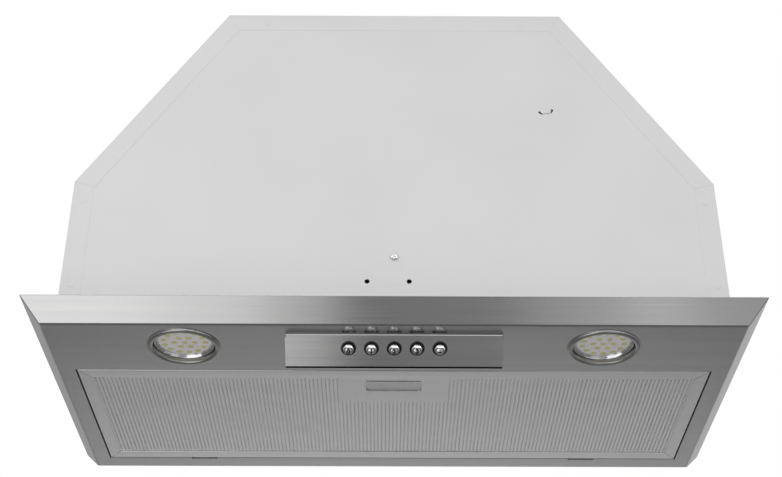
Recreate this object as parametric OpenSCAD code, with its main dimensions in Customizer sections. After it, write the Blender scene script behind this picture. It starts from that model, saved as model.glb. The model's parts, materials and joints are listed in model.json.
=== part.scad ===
// Built-in cooker hood, seen as it hangs in a wall cabinet.
// X runs to the viewer's right, Y to the rear and Z up. The origin is the centre of the housing,
// in the plane where the flange of the face plate lies against the cabinet.

/* [Face plate] */
// Width of the flange that shows under the cabinet
flange_w = 600; // [560:1:680]
// Depth of the flange from front to rear
flange_d = 316; // [306:1:350]
// Height from the underside of the plate to the cabinet
flange_h = 17.5; // [15:0.5:24]
// How far each bevelled side leans in on its way down
bevel_w = 15; // [8:0.5:16]
// Width of the return lip that lies against the cabinet
lip_w = 12; // [8:0.5:16]
// Thickness of the stainless sheet
plate_t = 0.8; // [0.6:0.1:1.2]

/* [Housing] */
// How far the flange reaches beyond the housing on every side
overhang = 25; // [23:0.5:32]
// Height of the shoulders above the cabinet's underside
shoulder_h = 126.5; // [90:1:150]
// Height of the housing above the cabinet's underside
housing_h = 315; // [310:1:360]
// Width of the flat top between the sloping shoulders
top_w = 306; // [260:1:380]
// Thickness of the painted sheet
sheet_t = 0.8; // [0.6:0.1:1.2]
// Width of the folds that lap over the front and rear panels
fold_w = 17.5; // [12:0.5:24]
// Width of the foot flanges that stand on the face plate
foot_w = 8; // [6:0.5:8.5]
// Diameter of the clinched dimples in the folds
dimple_d = 6.3; // [4:0.1:8]
// Distance of a dimple from the outer edge of its fold
dimple_edge = 9; // [6:0.5:11]
// Diameter of the two small holes in the front panel
trim_hole_d = 4.2; // [3.2:0.1:5]
// Distance between the two small holes
trim_hole_pitch = 34.8; // [20:0.2:60]
// Height of the two small holes above the cabinet's underside
trim_hole_z = 28.3; // [20:0.1:35]
// Diameter of the holes that screw the housing to the cabinet's sides
side_hole_d = 5; // [4:0.1:7]
// Distance between the two fixing holes of one side
side_hole_pitch = 180; // [120:1:220]

/* [Grease filter] */
// Distance from the flange's front edge to the front of the filter
filter_front = 98; // [96:0.5:104]
// Distance from the flange's rear edge to the rear of the filter
filter_rear = 36; // [32:0.5:44]
// Gap between the side of the filter and the housing wall
filter_side_gap = 5.2; // [2:0.1:8]
// Thickness of the filter
filter_t = 9; // [8:0.5:12]
// Width of the frame's face in front of and behind the mesh
rail_w = 13.5; // [10:0.5:18]
// Width of the frame's face beside the mesh
rail_side_w = 10.7; // [9.5:0.1:16]
// Wall thickness of the frame channel
rail_t = 1; // [0.8:0.1:1.2]
// Thickness of a perforated sheet
mesh_t = 0.6; // [0.5:0.1:0.8]
// Gap between the filter and the sides of its opening
gap_side = 1.2; // [1:0.1:2]
// Gap in front of the filter
gap_front = 1; // [0.8:0.1:2]
// Gap behind the filter, which it needs to swing down
gap_rear = 3; // [2.8:0.1:4]
// Width of the latch plate
latch_w = 96.6; // [80:0.1:120]
// Depth of the latch plate
latch_d = 59; // [56:0.5:70]
// Width of the finger slot
slot_w = 48; // [40:0.5:60]
// Depth of the finger slot
slot_d = 20.6; // [16:0.1:22]
// Distance from the filter's front to the finger slot
slot_front = 18.1; // [15:0.1:20]
// Width of the gap that the fingertip enters
grip_gap = 5.7; // [5:0.1:8]
// Travel of the latch
latch_travel = 5; // [4:0.5:5]
// Width of the latch bolt
bolt_w = 30; // [20:1:40]
// Thickness of the latch bolt
bolt_t = 2; // [1.5:0.1:2.5]
// How far the bolt reaches beyond the filter
bolt_reach = 4; // [3:0.1:4.2]
// Turns of each latch spring
latch_spring_turns = 6; // [4:1:8]

/* [Control strip] */
// Width of the control strip
strip_w = 177.5; // [172:0.5:200]
// Length of its tilted face
strip_len = 26.6; // [25:0.1:30]
// Tilt of the face from the horizontal, in degrees
strip_tilt = 40; // [36:1:44]
// Distance from the flange's front edge to the strip
strip_front = 35.5; // [34:0.5:38]
// Gap between the strip's upper edge and the plate
strip_gap = 0.3; // [0.3:0.1:1.5]
// Thickness of the strip's sheet
strip_t = 0.8; // [0.6:0.1:1]
// Distance between two buttons
button_pitch = 18.6; // [16:0.1:22]
// Distance from the face's upper edge to the buttons
button_row = 9.9; // [9.6:0.1:11]
// Diameter of a black bezel
bezel_d = 12.6; // [11.4:0.1:14]
// Diameter of a button cap
cap_d = 9; // [8:0.1:9.6]
// How far a cap stands out of the face
cap_proud = 5.4; // [4.6:0.1:7]
// Travel of a button
button_travel = 3; // [2:0.1:3.4]

/* [Lamps] */
// Distance of each lamp from the middle of the hood
lamp_x = 173; // [150:0.1:215]
// Distance of the lamps from the flange's front edge
lamp_front = 55.2; // [55:0.1:58.5]
// Diameter of a lamp
lamp_d = 50; // [48:0.1:51]
// Length of a lamp without its two pins
lamp_len = 50; // [46:0.5:52]
// Outer diameter of a lamp ring
ring_d = 61; // [58:0.1:62]
// How far a ring stands below the plate
ring_proud = 3; // [2:0.1:4]
// How far a lamp's face lies above the plate's underside
lamp_recess = 2.2; // [1:0.1:3]

/* [Blower] */
// Diameter of the impeller
impeller_d = 150; // [140:1:152]
// Width of the impeller over both rows of blades
impeller_w = 90; // [80:1:94]
// Blades in each row
blade_count = 36; // [24:1:40]
// Depth of the blades
blade_depth = 13; // [11:0.5:14]
// Running gap between the impeller and the narrowest part of the scroll
tongue_gap = 9; // [7:0.5:10]
// Growth of the scroll's radius in a full turn
scroll_growth = 50; // [40:1:54]
// Depth of the blower's shaft below the housing's top
shaft_drop = 110; // [106:1:115]
// Wall thickness of the scroll
scroll_t = 2; // [1.5:0.1:2.5]
// Diameter of the motor
motor_d = 84; // [76:1:88]
// Length of the motor
motor_len = 56; // [50:1:60]
// Diameter of the shaft
shaft_d = 8; // [6:0.5:10]

/* [Outlet] */
// Outer diameter of the outlet collar
collar_d = 120; // [110:1:124]
// Height of the collar above the housing
collar_h = 40; // [34:1:60]
// Wall thickness of the collar
collar_t = 2.5; // [2:0.1:3]
// Diameter of the collar's foot ring
collar_foot_d = 140; // [138:1:142]
// Thickness of a non-return flap
flap_t = 1.2; // [1:0.1:2]
// Diameter of the flaps' hinge pin
flap_pin_d = 3; // [2.5:0.1:4]

/* [Electrical] */
// Height of the service cover above the cabinet's underside
service_h = 58; // [57:0.5:62]
// Diameter of the run capacitor
capacitor_d = 30; // [25:1:35]
// Length of the run capacitor
capacitor_len = 58; // [50:1:65]
// Width of the terminal box
box_w = 65; // [55:1:80]
// Height of the terminal box
box_h = 45; // [40:1:60]
// Depth of the terminal box
box_d = 26; // [22:1:34]
// Diameter of the cord hole in the gland
cord_hole_d = 8; // [6:0.1:9]

/* [Fits] */
// Radial clearance of a running fit
running = 0.05; // [0.02:0.01:0.1]
// Gap between pieces that slide past each other
sliding = 0.4; // [0.3:0.05:0.6]

/* [Hidden] */
$fn = 64;

eps = 0.01;
steel = "#b9bbbd";
paint = "#d6d6d6";
black = "#1c1c1e";
grey_plastic = "#55585c";

// Face plate
front_y = -flange_d / 2;
rear_y = flange_d / 2;
under_z = -flange_h;
floor_z = under_z + plate_t;
bevel_run = bevel_w / flange_h;
side_wall_t = plate_t * sqrt(1 + bevel_run * bevel_run);

// Housing
half_w = flange_w / 2 - overhang;
half_d = flange_d / 2 - overhang;
wall_x = half_w - sheet_t;
panel_y = half_d - sheet_t;
inner_y = panel_y - sheet_t;
foot_z = floor_z + sheet_t;
slope_dx = top_w / 2 - half_w;
slope_dz = housing_h - shoulder_h;
slope_len = sqrt(slope_dx * slope_dx + slope_dz * slope_dz);
slope_nx = slope_dz / slope_len;
slope_nz = -slope_dx / slope_len;
ceiling_z = housing_h - sheet_t;
mitre_cut = 0.5;

// Filter
filter_x = wall_x - filter_side_gap;
filter_y0 = front_y + filter_front;
filter_y1 = rear_y - filter_rear;
filter_z1 = under_z + filter_t;
open_x = filter_x + gap_side;
open_y0 = filter_y0 - gap_front;
open_y1 = filter_y1 + gap_rear;
keeper_h = 6;
bolt_z = floor_z + 1.2;
service_y = open_y0 - 5;

// Control strip
strip_y = front_y + strip_front;
strip_z = under_z - strip_gap;
tilt_c = cos(strip_tilt);
tilt_s = sin(strip_tilt);
strip_foot_y = strip_y + strip_len * tilt_c;
strip_low_z = strip_z - strip_len * tilt_s;
strip_sole = 3;
strip_back_y = strip_foot_y + 12;
button_count = 5;

// Lamps
lamp_y = front_y + lamp_front;
ring_opening = lamp_d + 0.8;
lamp_hole_d = ring_opening + 2.8;
lamp_well = 5;
lamp_rim = 3;
lamp_room = 1;
led_t = 1;
glass_t = 1;
socket_h = 14;

// Blower, with its scroll in the middle of the housing's depth
shaft_h = housing_h - shaft_drop;
full_turn = 360;
scroll_r0 = impeller_d / 2 + tongue_gap;
tongue_a = 80;
scroll_r1 = scroll_r0 + scroll_growth * (full_turn - tongue_a) / full_turn;
scroll_front_r = scroll_r0 + scroll_growth * (full_turn / 2 - tongue_a) / full_turn;
shaft_y = (scroll_front_r - scroll_r1) / 2;
scroll_half = impeller_w / 2 + 10;
duct_y0 = shaft_y + scroll_r0 * cos(tongue_a);
duct_y1 = shaft_y + scroll_r1;
inlet_r = impeller_d / 2 - blade_depth + 1;
bell_r = 6;
motor_x0 = 8;
motor_x1 = motor_x0 + motor_len;
damper_x0 = scroll_half + scroll_t;
damper_h = motor_x1 - damper_x0;
damper_r = 6;
damper_room = 10;
damper_ring = inlet_r + bell_r + damper_room;
bracket_t = 1.5;
bush_r = 8;
bush_len = 6;
hub_r = 14;
hub_x0 = -12;
hub_x1 = 4;
shaft_x1 = motor_x1 + 4;

// Outlet
collar_y = (duct_y0 + duct_y1) / 2;
collar_bore = collar_d / 2 - collar_t;
ledge_w = 2.5;
flap_z = housing_h + 14;
flap_gap = 0.4;
knuckle_r = flap_pin_d / 2 + 1.2;
screw_head_r = 3.6;
screw_head_h = 1.8;
screw_r = 1.6;

// Electrical
box_side_gap = 59.2;
box_x = wall_x - box_w - box_side_gap;
box_z = 40;
box_t = 2;
gland_x = box_x + box_w / 2;
gland_z = box_z + box_h / 2;
gland_r = 8;
capacitor_side_gap = 124.2;
capacitor_x = capacitor_side_gap - wall_x;
capacitor_z = 70;

// A block between two corners
module block(a, b) {
    translate(a) cube([b[0] - a[0], b[1] - a[1], b[2] - a[2]]);
}

// The children and their mirror image on the left
module both_sides() {
    children();
    mirror([1, 0, 0]) children();
}

// A rectangle w by d at z = 0 that leans in by lean at depth h
module frustum(w, d, h, lean) {
    intersection() {
        rotate([90, 0, 0]) linear_extrude(d, center = true)
            polygon([[-w / 2, 0], [w / 2, 0], [w / 2 - lean, -h], [lean - w / 2, -h]]);
        rotate([90, 0, 90]) linear_extrude(w, center = true)
            polygon([[-d / 2, 0], [d / 2, 0], [d / 2 - lean, -h], [lean - d / 2, -h]]);
    }
}

// The housing's outline from the front, drawn in by e
function housing_outline(e, foot) = [
    [half_w - e, foot],
    [half_w - e, shoulder_h - e * (1 - slope_nx) / slope_nz],
    [top_w / 2 - e * (1 - slope_nz) / slope_nx, housing_h - e],
    [-top_w / 2 + e * (1 - slope_nz) / slope_nx, housing_h - e],
    [e - half_w, shoulder_h - e * (1 - slope_nx) / slope_nz],
    [e - half_w, foot]];

// That outline as a slab from y0 to y1
module housing_slab(e, foot, y0, y1) {
    translate([0, y1, 0]) rotate([90, 0, 0])
        linear_extrude(y1 - y0) polygon(housing_outline(e, foot));
}

// A cylinder along X or Y
module rod_x(r, x0, x1, y, z) {
    translate([x0, y, z]) rotate([0, 90, 0]) cylinder(r = r, h = x1 - x0);
}
module rod_y(r, y0, y1, x, z) {
    translate([x, y1, z]) rotate([90, 0, 0]) cylinder(r = r, h = y1 - y0);
}

// Places on the control strip: X as usual, Y down its face, Z into the hood
module on_strip() {
    translate([0, strip_y, strip_z]) rotate([-strip_tilt, 0, 0]) children();
}
function button_x(i) = (i - (button_count - 1) / 2) * button_pitch;
module at_buttons() {
    for (i = [0:button_count - 1]) on_strip() translate([button_x(i), button_row, 0]) children();
}

// A rounded rectangle as a prism
module rounded_prism(x0, x1, y0, y1, z0, z1, r) {
    block([x0 + r, y0, z0], [x1 - r, y1, z1]);
    block([x0, y0 + r, z0], [x1, y1 - r, z1]);
    for (x = [x0 + r, x1 - r], y = [y0 + r, y1 - r]) translate([x, y, z0]) cylinder(r = r, h = z1 - z0);
}

// Face plate: one stainless sheet with the filter, lamp and switch openings
window_x = 65;
window_inset = 1.5;
window_d = 25.5;
window_y0 = strip_y + window_inset;
window_y1 = window_y0 + window_d;
module face_plate() {
    color(steel) {
        difference() {
            frustum(flange_w, flange_d, flange_h, bevel_w);
            frustum(flange_w - 2 * side_wall_t, flange_d - 2 * side_wall_t,
                flange_h - plate_t, bevel_run * (flange_h - plate_t));
            block([-open_x, open_y0, under_z - 1], [open_x, open_y1, floor_z + 1]);
            for (s = [-1, 1]) translate([s * lamp_x, lamp_y, under_z - 1])
                cylinder(d = lamp_hole_d, h = plate_t + 2);
            block([-window_x, window_y0, under_z - 1], [window_x, window_y1, floor_z + 1]);
            strip_tab_slots();
        }
        difference() {
            frustum(flange_w, flange_d, plate_t, bevel_run * plate_t);
            block([lip_w - flange_w / 2, front_y + lip_w, -1 - plate_t],
                [flange_w / 2 - lip_w, rear_y - lip_w, 1]);
        }
        difference() {
            block([-open_x, open_y0 - plate_t, floor_z - eps], [open_x, open_y0, floor_z + keeper_h]);
            block([-bolt_w / 2 - 1, open_y0 - 2 * plate_t, bolt_z - 0.6],
                [bolt_w / 2 + 1, open_y0 + 1, bolt_z + bolt_t + 0.6]);
        }
    }
}

// Tabs of the control cover and the slots that they pass through
tab_w = 8;
tab_x = strip_w / 2 - 14;
module strip_tab_slots() {
    for (s = [-1, 1]) translate([s * tab_x, 0, 0])
        block([-tab_w / 2 - 0.2, strip_back_y - strip_t - 0.2, under_z - 1],
            [tab_w / 2 + 0.2, strip_back_y + 0.2, floor_z + 1]);
}

// Wrapper: sides, shoulders and top, with a fold over each panel
module wrapper() {
    color(paint) {
        difference() {
            housing_slab(0, floor_z, -half_d, half_d);
            housing_slab(sheet_t, floor_z - 1, -panel_y, panel_y);
            housing_slab(fold_w, floor_z - 1, -half_d - 1, half_d + 1);
            for (s = [-1, 1]) {
                fold_foot_cut(s);
                mitre_cuts(s);
                dimples(s);
            }
            translate([0, collar_y, ceiling_z - 1]) cylinder(r = collar_bore, h = sheet_t + 2);
            collar_screw_places() translate([0, 0, ceiling_z - 1]) cylinder(r = screw_r, h = sheet_t + 2);
            for (s = [-1, 1], y = side_hole_ys) rod_x(side_hole_d / 2, s * half_w - 2, s * half_w + 2, y, side_hole_z);
        }
        both_sides() difference() {
            block([half_w - eps, -half_d, floor_z], [half_w + foot_w, half_d, foot_z]);
            side_stud_places() cylinder(r = stud_hole_r, h = 4, center = true);
        }
    }
}
side_hole_z = 20;
side_hole_ys = [-side_hole_pitch / 2, side_hole_pitch / 2];
stud_r = 2;
stud_hole_r = stud_r + 0.3;

// Below the folds the panels' foot flanges run out to the front and rear
module fold_foot_cut(s) {
    y = s * (panel_y + sheet_t / 2);
    block([-wall_x, y - sheet_t, floor_z - 1], [wall_x, y + sheet_t, foot_z]);
}

// Fine cuts where a fold turns a corner
module mitre_cuts(s) {
    outer = housing_outline(0, floor_z);
    inner = housing_outline(fold_w + 1, floor_z);
    for (i = [1:4]) {
        d = inner[i] - outer[i];
        translate([outer[i][0], s * (panel_y + sheet_t / 2), outer[i][1]])
            rotate([0, -atan2(d[1], d[0]), 0])
            translate([1.5, -sheet_t / 2 - eps, -mitre_cut / 2])
            cube([norm(d), sheet_t + 2 * eps, mitre_cut]);
    }
}

// Clinched dimples in the folds
module dimples(s) {
    for (p = dimple_places) rod_y(dimple_d / 2, s * half_d - 0.4, s * half_d + 0.4, p[0], p[1]);
}
dimple_side_x = half_w - dimple_edge;
dimple_places = [[-dimple_side_x, 25.3], [dimple_side_x, 25.3],
    [-dimple_side_x, shoulder_h - 19], [dimple_side_x, shoulder_h - 19],
    [-top_w / 2 + 36, housing_h - dimple_edge], [top_w / 2 - 36, housing_h - dimple_edge]];

// Front panel: plain sheet with two small holes, a rivet hole and a lanced bridge for a cable tie
rivet_r = 1.6;
rivet_head_r = 3.15;
front_rivet_z = 51.7;
lance_x = 135;
lance_z = 204;
lance_w = 4;
lance_gap = 10;
module panel(s) {
    y0 = s < 0 ? -panel_y : panel_y - sheet_t;
    housing_slab(sheet_t, floor_z, y0, y0 + sheet_t);
    // the foot flange turns outwards
    foot_y0 = s < 0 ? -half_d - foot_w : panel_y - sheet_t;
    foot_y1 = s < 0 ? -panel_y + sheet_t : half_d + foot_w;
    difference() {
        block([-wall_x, foot_y0, floor_z], [wall_x, foot_y1, foot_z]);
        if (s < 0) front_stud_places() cylinder(r = stud_hole_r, h = 4, center = true);
        if (s > 0) rear_stud_places() cylinder(r = stud_hole_r, h = 4, center = true);
    }
}
module front_panel() {
    color(paint) {
        difference() {
            panel(-1);
            for (s = [-1, 1]) rod_y(trim_hole_d / 2, -half_d - 1, -inner_y + 1,
                trim_hole_x + s * trim_hole_pitch / 2, trim_hole_z);
            rod_y(rivet_r, -half_d - 1, -inner_y + 1, 0, front_rivet_z);
            translate([lance_x, -panel_y, lance_z]) rotate([0, -12, 0])
                for (s = [-1, 1]) block([s * lance_gap / 2 - 1, -1, -lance_w / 2],
                    [s * lance_gap / 2 + 1, sheet_t + 1, lance_w / 2]);
        }
        translate([lance_x, -panel_y, lance_z]) rotate([0, -12, 0])
            block([-lance_gap / 2 + 1, -1.6, -lance_w / 2], [lance_gap / 2 - 1, eps, lance_w / 2]);
    }
}
trim_hole_x = -5.1;

// Rear panel: plain sheet with the hole for the cord gland
module rear_panel() {
    color(paint) difference() {
        panel(1);
        rod_y(gland_r, inner_y - 1, half_d + 1, gland_x, gland_z);
    }
}

// Service cover: keeps the lamps and switches out of the air stream
service_flange = 12;
module service_cover() {
    color(paint) difference() {
        union() {
            block([-wall_x, service_y - sheet_t, floor_z], [wall_x, service_y, service_h]);
            block([-wall_x, -inner_y, service_h - sheet_t], [wall_x, service_y, service_h]);
            block([-wall_x, -inner_y, service_h - service_flange],
                [wall_x, -inner_y + sheet_t, service_h]);
            block([-wall_x, service_y - service_flange, floor_z], [wall_x, service_y, foot_z]);
            both_sides() block([wall_x - sheet_t, service_y - service_flange, floor_z],
                [wall_x, service_y, service_h]);
        }
        rod_y(rivet_r, -half_d - 1, 1 - inner_y + sheet_t, 0, front_rivet_z);
        for (x = wire_hole_xs) rod_y(wire_hole_r, service_y - 2, service_y + 1, x, service_h - 14);
        both_sides() translate([lamp_x, lamp_y, floor_z - 1]) cylinder(r = lamp_hole_d / 2 + lamp_room, h = sheet_t + 2);
    }
}
wire_hole_r = 6;
wire_hole_xs = [-120, 120];

// Control cover: tilted face, sole, back wall and two cheeks
strip_back_run = (strip_back_y - strip_foot_y - strip_sole) / (under_z - strip_low_z);
strip_back_t = strip_t * sqrt(1 + strip_back_run * strip_back_run);
module strip_prism(half, outline) {
    rotate([90, 0, 90]) linear_extrude(2 * half, center = true) polygon(outline);
}
strip_outside = [[strip_y, strip_z], [strip_foot_y, strip_low_z],
    [strip_foot_y + strip_sole, strip_low_z], [strip_back_y, under_z]];
strip_inside = [
    [strip_y + strip_t * tilt_s - tilt_c, strip_z + strip_t * tilt_c + tilt_s],
    [strip_foot_y + strip_t * (1 - tilt_c) / tilt_s, strip_low_z + strip_t],
    [strip_foot_y + strip_sole + strip_back_run * strip_t - strip_back_t, strip_low_z + strip_t],
    [strip_back_y + strip_back_run - strip_back_t, under_z + 1]];
module control_cover() {
    color(steel) {
        difference() {
            intersection() {
                strip_prism(strip_w / 2, strip_outside);
                on_strip() rounded_prism(-strip_w / 2, strip_w / 2, 0, 2 * strip_len, -1, 2 * strip_len, 1.3);
            }
            strip_prism(strip_w / 2 - strip_t, strip_inside);
            at_buttons() cylinder(r = bezel_neck_r + running, h = 4, center = true);
        }
        for (s = [-1, 1]) translate([s * tab_x, 0, 0])
            block([-tab_w / 2, strip_back_y - strip_t, under_z - 0.4], [tab_w / 2, strip_back_y, floor_z + 4]);
    }
}

// Button bezels: black sleeves through the face
bezel_neck_r = bezel_d / 2 - 0.9;
bezel_t = 1;
cap_bore_r = cap_d / 2 + 0.3;
module button_bezels() {
    color(black) at_buttons() difference() {
        union() {
            translate([0, 0, -bezel_t]) cylinder(d = bezel_d, h = bezel_t);
            cylinder(r = bezel_neck_r, h = strip_t);
        }
        translate([0, 0, -bezel_t - 1]) cylinder(r = cap_bore_r, h = bezel_t + strip_t + 2);
    }
}

// Switch block: closed body behind the face, with a bore for each button
block_x = 60;
block_y0 = 2;
block_y1 = 17.8;
block_z1 = 22;
stem_r = 2.5;
stem_len = 14;
cap_skirt = 1.5;
bore_floor = cap_skirt + button_travel + 0.6;
module switch_block() {
    color(black) difference() {
        on_strip() block([-block_x, block_y0, strip_t], [block_x, block_y1, block_z1]);
        at_buttons() {
            translate([0, 0, strip_t - 1]) cylinder(r = cap_bore_r, h = bore_floor - strip_t + 1);
            translate([0, 0, strip_t]) cylinder(r = stem_r + 0.3, h = stem_len + button_travel);
        }
    }
}

// Button: domed cap on a stem
dome_h = 2.4;
module button(i) {
    cap_r = cap_d / 2;
    dome_r = (cap_r * cap_r + dome_h * dome_h) / (2 * dome_h);
    dome_a = asin(cap_r / dome_r);
    color("#d9dadc") on_strip() translate([button_x(i), button_row, 0]) rotate_extrude()
        polygon(concat([[0, stem_len], [0, -cap_proud]],
            [for (k = [1:6]) [dome_r * sin(dome_a * k / 6),
                -cap_proud + dome_r - dome_r * cos(dome_a * k / 6)]],
            [[cap_r, cap_skirt], [stem_r, cap_skirt], [stem_r, stem_len]]));
}

// Switch bracket: a strap over the back of the block, with a foot at each end
strap_w = 10;
strap_t = 1.2;
strap_x = block_x + 12;
module switch_bracket() {
    strap_y = strip_y + block_y0 * tilt_c + block_z1 * tilt_s;
    strap_z = strip_z - block_y0 * tilt_s + block_z1 * tilt_c;
    color("#c4c6c4") difference() {
        union() {
            intersection() {
                on_strip() block([-strap_x, block_y0, block_z1], [strap_x, block_y0 + strap_w, block_z1 + strap_t]);
                block([-strap_x, strip_y, foot_z], [strap_x, service_y - 1, service_h]);
            }
            both_sides() intersection() {
                block([strap_x - strap_t, strip_y, floor_z], [strap_x, service_y - 1, service_h]);
                on_strip() block([0, block_y0, 0], [strap_x + 1, block_y0 + strap_w, block_z1 + strap_t]);
            }
            both_sides() block([strap_x - strap_t, strap_foot_y0, floor_z],
                [strap_x + strap_w, strap_foot_y0 + strap_w, floor_z + strap_t]);
        }
        both_sides() translate([strap_x + strap_w / 2, strap_foot_y0 + strap_w / 2, floor_z])
            cylinder(r = stud_hole_r, h = 10, center = true);
    }
}
strap_foot_y0 = strip_y + 5;

// Lamp ring: rounded chrome ring with a sleeve through the plate
module lamp_ring(s) {
    r0 = ring_opening / 2;
    r1 = ring_d / 2;
    sleeve_r = lamp_hole_d / 2 - 0.3;
    steps = 8;
    color("#d9dadc") translate([s * lamp_x, lamp_y, under_z]) rotate_extrude($fn = 96)
        polygon(concat([[sleeve_r, 0], [sleeve_r, ring_sleeve], [r0, ring_sleeve]],
            [for (k = [0:steps]) [(r0 + r1) / 2 - (r1 - r0) / 2 * cos(180 * k / steps),
                -ring_proud * sin(180 * k / steps)]]));
}
ring_sleeve = 12;

// Places in a lamp: Z = 0 at its face, Z up
module in_lamp(s) {
    translate([s * lamp_x, lamp_y, under_z + lamp_recess]) children();
}

// Lamp body: reflector cup with a well for the LED board, tapering to its base
lamp_neck_r = 9;
lamp_neck_len = 14;
lamp_well_r = lamp_d / 2 - lamp_rim;
module lamp_body(s) {
    r = lamp_d / 2;
    color("#c8cacc") in_lamp(s) rotate_extrude($fn = 96)
        polygon([[0, lamp_well + led_t], [lamp_well_r, lamp_well + led_t], [lamp_well_r, lamp_well - glass_t],
            [r - 0.8, 0], [r, 0.6], [r, 7], [r - 4, 16], [r - 9, 26], [lamp_neck_r, lamp_len - lamp_neck_len],
            [lamp_neck_r, lamp_len], [0, lamp_len]]);
}
module led_board(s) {
    color("#e8e4c0") in_lamp(s) translate([0, 0, lamp_well]) {
        cylinder(r = lamp_well_r, h = led_t);
    }
}
module lamp_glass(s) {
    color("#dfe6e8", 0.4) in_lamp(s) translate([0, 0, lamp_well - glass_t])
        cylinder(r = lamp_well_r, h = glass_t);
}

// Lamp socket: ceramic body on the lamp's base, and the bracket that carries it
socket_r = 13;
module lamp_socket(s) {
    color("#e4e0d6") in_lamp(s) translate([0, 0, lamp_len]) difference() {
        cylinder(r = socket_r, h = socket_h - 0.3);
        for (k = [-1, 1]) translate([5 * k, 0, -1]) cylinder(r = 2.6, h = 9);
    }
}
socket_strip_w = 12;
module socket_brackets() {
    color("#c4c6c4") for (s = [-1, 1]) translate([s * lamp_x, lamp_y, 0]) {
        z1 = under_z + lamp_recess + lamp_len + socket_h - 0.3;
        difference() {
            union() {
                block([-32, -socket_strip_w / 2, z1], [32, socket_strip_w / 2, z1 + 1]);
                for (k = [-1, 1]) {
                    block([31.5 * k - 0.5, -socket_strip_w / 2, floor_z],
                        [31.5 * k + 0.5, socket_strip_w / 2, z1 + 1]);
                    block([36 * k - 5, -socket_strip_w / 2, floor_z], [36 * k + 5, socket_strip_w / 2, floor_z + 1]);
                }
            }
            translate([0, 0, z1 - 1]) cylinder(r = 3, h = 3);
        }
    }
}

// Outlet collar with its foot ring, flap ledge and pin bosses
module collar_screw_places() {
    for (a = [45:90:315]) translate([0, collar_y, 0]) rotate([0, 0, a])
        translate([(collar_d + collar_foot_d) / 4, 0, 0]) children();
}
module outlet_collar() {
    color(grey_plastic) difference() {
        union() {
            translate([0, collar_y, housing_h]) cylinder(d = collar_foot_d, h = collar_t, $fn = 96);
            translate([0, collar_y, housing_h]) cylinder(d = collar_d, h = collar_h, $fn = 96);
        }
        difference() {
            translate([0, collar_y, housing_h - 1]) cylinder(r = collar_bore, h = collar_h + 2, $fn = 96);
            difference() {
                translate([0, collar_y, flap_z - flap_t / 2 - sliding - 3])
                    cylinder(r = collar_bore + 1, h = 3, $fn = 96);
                translate([0, collar_y, housing_h]) cylinder(r = collar_bore - ledge_w, h = collar_h, $fn = 96);
            }
            for (s = [-1, 1]) difference() {
                translate([s * (collar_bore - 2), collar_y, flap_z]) cube([8, 8, 8], center = true);
                rod_x(flap_pin_d / 2 + running, -collar_d, collar_d, collar_y, flap_z);
            }
        }
        rod_x(flap_pin_d / 2 + running, -collar_bore, collar_bore, collar_y, flap_z);
        collar_screw_places() translate([0, 0, housing_h - 1]) cylinder(r = screw_r, h = collar_t + 2);
    }
}
module flap_pin() {
    color(steel) rod_x(flap_pin_d / 2, -collar_bore, collar_bore, collar_y, flap_z);
}

// Non-return flap: half a disc with knuckles on the pin
flap_r = collar_bore - 0.8;
module flap(s) {
    knuckles = s < 0 ? [-30, 30] : [-15, 15];
    color(grey_plastic) translate([0, collar_y, flap_z]) difference() {
        union() {
            intersection() {
                translate([0, 0, -flap_t / 2]) cylinder(r = flap_r, h = flap_t, $fn = 96);
                translate([0, s * flap_r / 2 + s * (knuckle_r + flap_gap), 0])
                    cube([2 * flap_r - 14, flap_r, 2 * flap_t], center = true);
            }
            for (x = knuckles) {
                rod_x(knuckle_r, x - 4, x + 4, 0, 0);
                translate([x, s * (knuckle_r + 1) / 2 + s * 1, 0]) cube([8, knuckle_r + 3, flap_t], center = true);
            }
        }
        rod_x(flap_pin_d / 2 + running, -collar_d, collar_d, 0, 0);
    }
}

// Scroll: a spiral that widens towards the outlet duct, with its walls moved out by e
spiral_steps = 40;
function spiral_r(a) = scroll_r0 + scroll_growth * (a - tongue_a) / full_turn;
function spiral_start(e) = acos((duct_y0 - e - shaft_y) / (scroll_r0 + e));
function spiral_point(a, e) = [shaft_y + (spiral_r(a) + e) * cos(a), shaft_h + (spiral_r(a) + e) * sin(a)];
function scroll_outline(e, top) = concat(
    [for (k = [0:spiral_steps]) let (a0 = spiral_start(e)) spiral_point(a0 + (full_turn - a0) * k / spiral_steps, e)],
    [[duct_y1 + e, top], [duct_y0 - e, top]]);
module scroll_space(e, x0, x1, top) {
    translate([x0, 0, 0]) rotate([90, 0, 90]) linear_extrude(x1 - x0) polygon(scroll_outline(e, top));
}

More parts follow.
